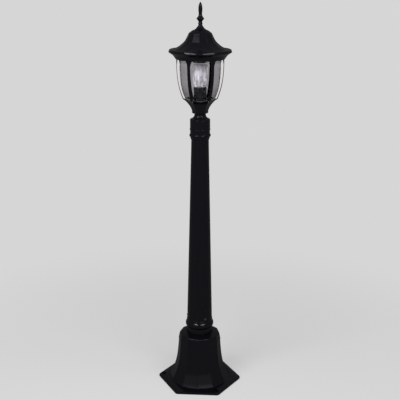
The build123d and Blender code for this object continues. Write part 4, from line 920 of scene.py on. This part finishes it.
class LANTERN_OT_stage(bpy.types.Operator):
    """Sets the floor, the even surroundings, the soft lights and the camera"""
    bl_idname = "lantern.stage"
    bl_label = "Stage"

    def execute(self, context):
        scene = context.scene
        studio = scene.lantern_studio
        pale = (*scene.lantern_finishes.floor, 1.0)
        scene.view_settings.view_transform = "Standard"
        self.set_floor(pale)
        self.set_surroundings(scene, studio, pale)
        strip, overhead, tall, short = (1.3, 0.16), (0.45, 1.0), (1.1, 1.0), (1.1, 0.8)
        rosy, cool, violet, blue = (1.0, 0.985, 1.0), (0.985, 0.99, 1.0), (0.96, 0.95, 1.0), (0.94, 0.91, 1.0)
        self.add_light("left_strip", studio.left_strip, (-0.92, -1.31, 2.0), strip, rosy)
        self.add_light("right_strip", studio.right_strip, (0.92, -1.31, 2.0), strip, cool)
        self.add_light("left_overhead", studio.overhead, (-0.85, -0.85, 2.65), overhead, violet)
        self.add_light("right_overhead", studio.overhead, (1.25, -0.35, 2.7), overhead, violet)
        for side in (-1.35, 1.35):
            self.add_light("tall_light_top", studio.tall_lights, (side, -2.1, 1.8), tall, blue)
            self.add_light("tall_light_foot", studio.tall_lights / 5, (side, -2.1, 0.9), short, blue)
        self.set_camera(scene, studio)
        return {"FINISHED"}

    def set_floor(self, pale):
        """Lays the floor, which holds the lantern's shadow and grows as even as the backdrop away from it."""
        bpy.ops.object.select_all(action="DESELECT")
        bpy.ops.mesh.primitive_circle_add(vertices=96, radius=FLOOR_RADIUS, fill_type="NGON",
                                          location=(0, 0, FLOOR_LEVEL))
        floor = bpy.context.active_object
        floor.name = "studio_floor"
        fix_place()
        finish = bpy.data.materials.new("matt_pale_studio_floor")
        finish.use_nodes = True
        tree = finish.node_tree
        tree.nodes.clear()
        coords = add_node(tree, "ShaderNodeTexCoord")
        away = add_node(tree, "ShaderNodeVectorMath", {"operation": "LENGTH"}, {0: coords.outputs["Object"]})
        share = add_range(tree, away.outputs["Value"], low=0.6, high=1.0, start=0.2, end=1.4,
                          kind="SMOOTHSTEP")
        matt = add_node(tree, "ShaderNodeBsdfDiffuse", inputs={"Color": pale})
        even = add_node(tree, "ShaderNodeEmission", inputs={"Color": pale, "Strength": 1.0})
        mixed = add_node(tree, "ShaderNodeMixShader", inputs={
            0: share, 1: matt.outputs["BSDF"], 2: even.outputs["Emission"]})
        add_node(tree, "ShaderNodeOutputMaterial", inputs={"Surface": mixed.outputs["Shader"]})
        floor.data.materials.append(finish)

    def set_surroundings(self, scene, studio, pale):
        """Shows the pale backdrop to the eye, in gloss and through glass, and lights with a weaker sky."""
        world = bpy.data.worlds.new("even_surroundings")
        scene.world = world
        world.use_nodes = True
        tree = world.node_tree
        tree.nodes.clear()
        path = add_node(tree, "ShaderNodeLightPath")
        first = add_node(tree, "ShaderNodeMath", {"operation": "MAXIMUM"}, {
            0: path.outputs["Is Camera Ray"], 1: path.outputs["Is Glossy Ray"]})
        seen = add_node(tree, "ShaderNodeMath", {"operation": "MAXIMUM"}, {
            0: first.outputs["Value"], 1: path.outputs["Is Transmission Ray"]})
        light = add_node(tree, "ShaderNodeBackground", inputs={
            "Color": (1.0, 1.0, 1.0, 1.0), "Strength": studio.sky})
        wall = add_node(tree, "ShaderNodeBackground", inputs={"Color": pale, "Strength": 1.0})
        mixed = add_node(tree, "ShaderNodeMixShader", inputs={
            0: seen.outputs["Value"], 1: light.outputs["Background"], 2: wall.outputs["Background"]})
        add_node(tree, "ShaderNodeOutputWorld", inputs={"Surface": mixed.outputs["Shader"]})

    def add_light(self, name, power, spot, size, colour):
        """Hangs a soft light at a spot, turned to the middle of the lantern."""
        data = bpy.data.lights.new(name, "AREA")
        data.shape = "RECTANGLE"
        data.size, data.size_y = size
        data.energy = power
        data.color = colour
        lamp = bpy.data.objects.new(name, data)
        bpy.context.scene.collection.objects.link(lamp)
        lamp.location = spot
        aim = Vector((0, 0, AIM_HEIGHT)) - Vector(spot)
        lamp.rotation_euler = aim.to_track_quat("-Z", "Y").to_euler()
        lamp.visible_camera = False

    def set_camera(self, scene, studio):
        """Stands the camera in front of the lantern."""
        data = bpy.data.cameras.new("camera")
        data.sensor_width = FILM_WIDTH
        data.lens = FOCAL_SHARE * FILM_WIDTH
        camera = bpy.data.objects.new("camera", data)
        scene.collection.objects.link(camera)
        side = studio.camera_side
        camera.location = (studio.camera_distance * math.sin(side), -studio.camera_distance * math.cos(side),
                           studio.camera_height)
        swing = Matrix.Rotation(side - studio.camera_turn, 4, "Z")
        tilt = Matrix.Rotation(math.pi / 2 - studio.camera_pitch, 4, "X")
        lean = Matrix.Rotation(studio.camera_roll, 4, "Z")
        camera.rotation_euler = (swing @ tilt @ lean).to_euler()
        scene.camera = camera


class LANTERN_PT_sidebar(bpy.types.Panel):
    """Lists the lantern's pieces, sizes and colours"""
    bl_label = "Lantern"
    bl_idname = "LANTERN_PT_sidebar"
    bl_space_type = "VIEW_3D"
    bl_region_type = "UI"
    bl_category = "Lantern"

    def draw(self, context):
        scene = context.scene
        for group in (scene.lantern_sizes, scene.lantern_finishes, scene.lantern_studio):
            box = self.layout.box()
            for name in group.bl_rna.properties.keys():
                if name not in ("rna_type", "name"):
                    box.prop(group, name)
        for operator in OPERATORS:
            self.layout.operator(operator.bl_idname)


OPERATORS = (
    LANTERN_OT_fittings, LANTERN_OT_foot_and_bell, LANTERN_OT_collar, LANTERN_OT_post, LANTERN_OT_fitter,
    LANTERN_OT_cup, LANTERN_OT_cage, LANTERN_OT_glass, LANTERN_OT_lampholder, LANTERN_OT_lamp,
    LANTERN_OT_roof, LANTERN_OT_finial, LANTERN_OT_stage,
)
GROUPS = (LanternSizes, LanternFinishes, LanternStudio)


def register():
    for part in (*GROUPS, *OPERATORS, LANTERN_PT_sidebar):
        bpy.utils.register_class(part)
    bpy.types.Scene.lantern_sizes = bpy.props.PointerProperty(type=LanternSizes)
    bpy.types.Scene.lantern_finishes = bpy.props.PointerProperty(type=LanternFinishes)
    bpy.types.Scene.lantern_studio = bpy.props.PointerProperty(type=LanternStudio)


def unregister():
    del bpy.types.Scene.lantern_sizes, bpy.types.Scene.lantern_finishes, bpy.types.Scene.lantern_studio
    for part in (LANTERN_PT_sidebar, *reversed(OPERATORS), *reversed(GROUPS)):
        bpy.utils.unregister_class(part)


def main():
    register()
    for operator in OPERATORS:
        group, name = operator.bl_idname.split(".")
        getattr(getattr(bpy.ops, group), name)()


if __name__ == "__main__":
    main()
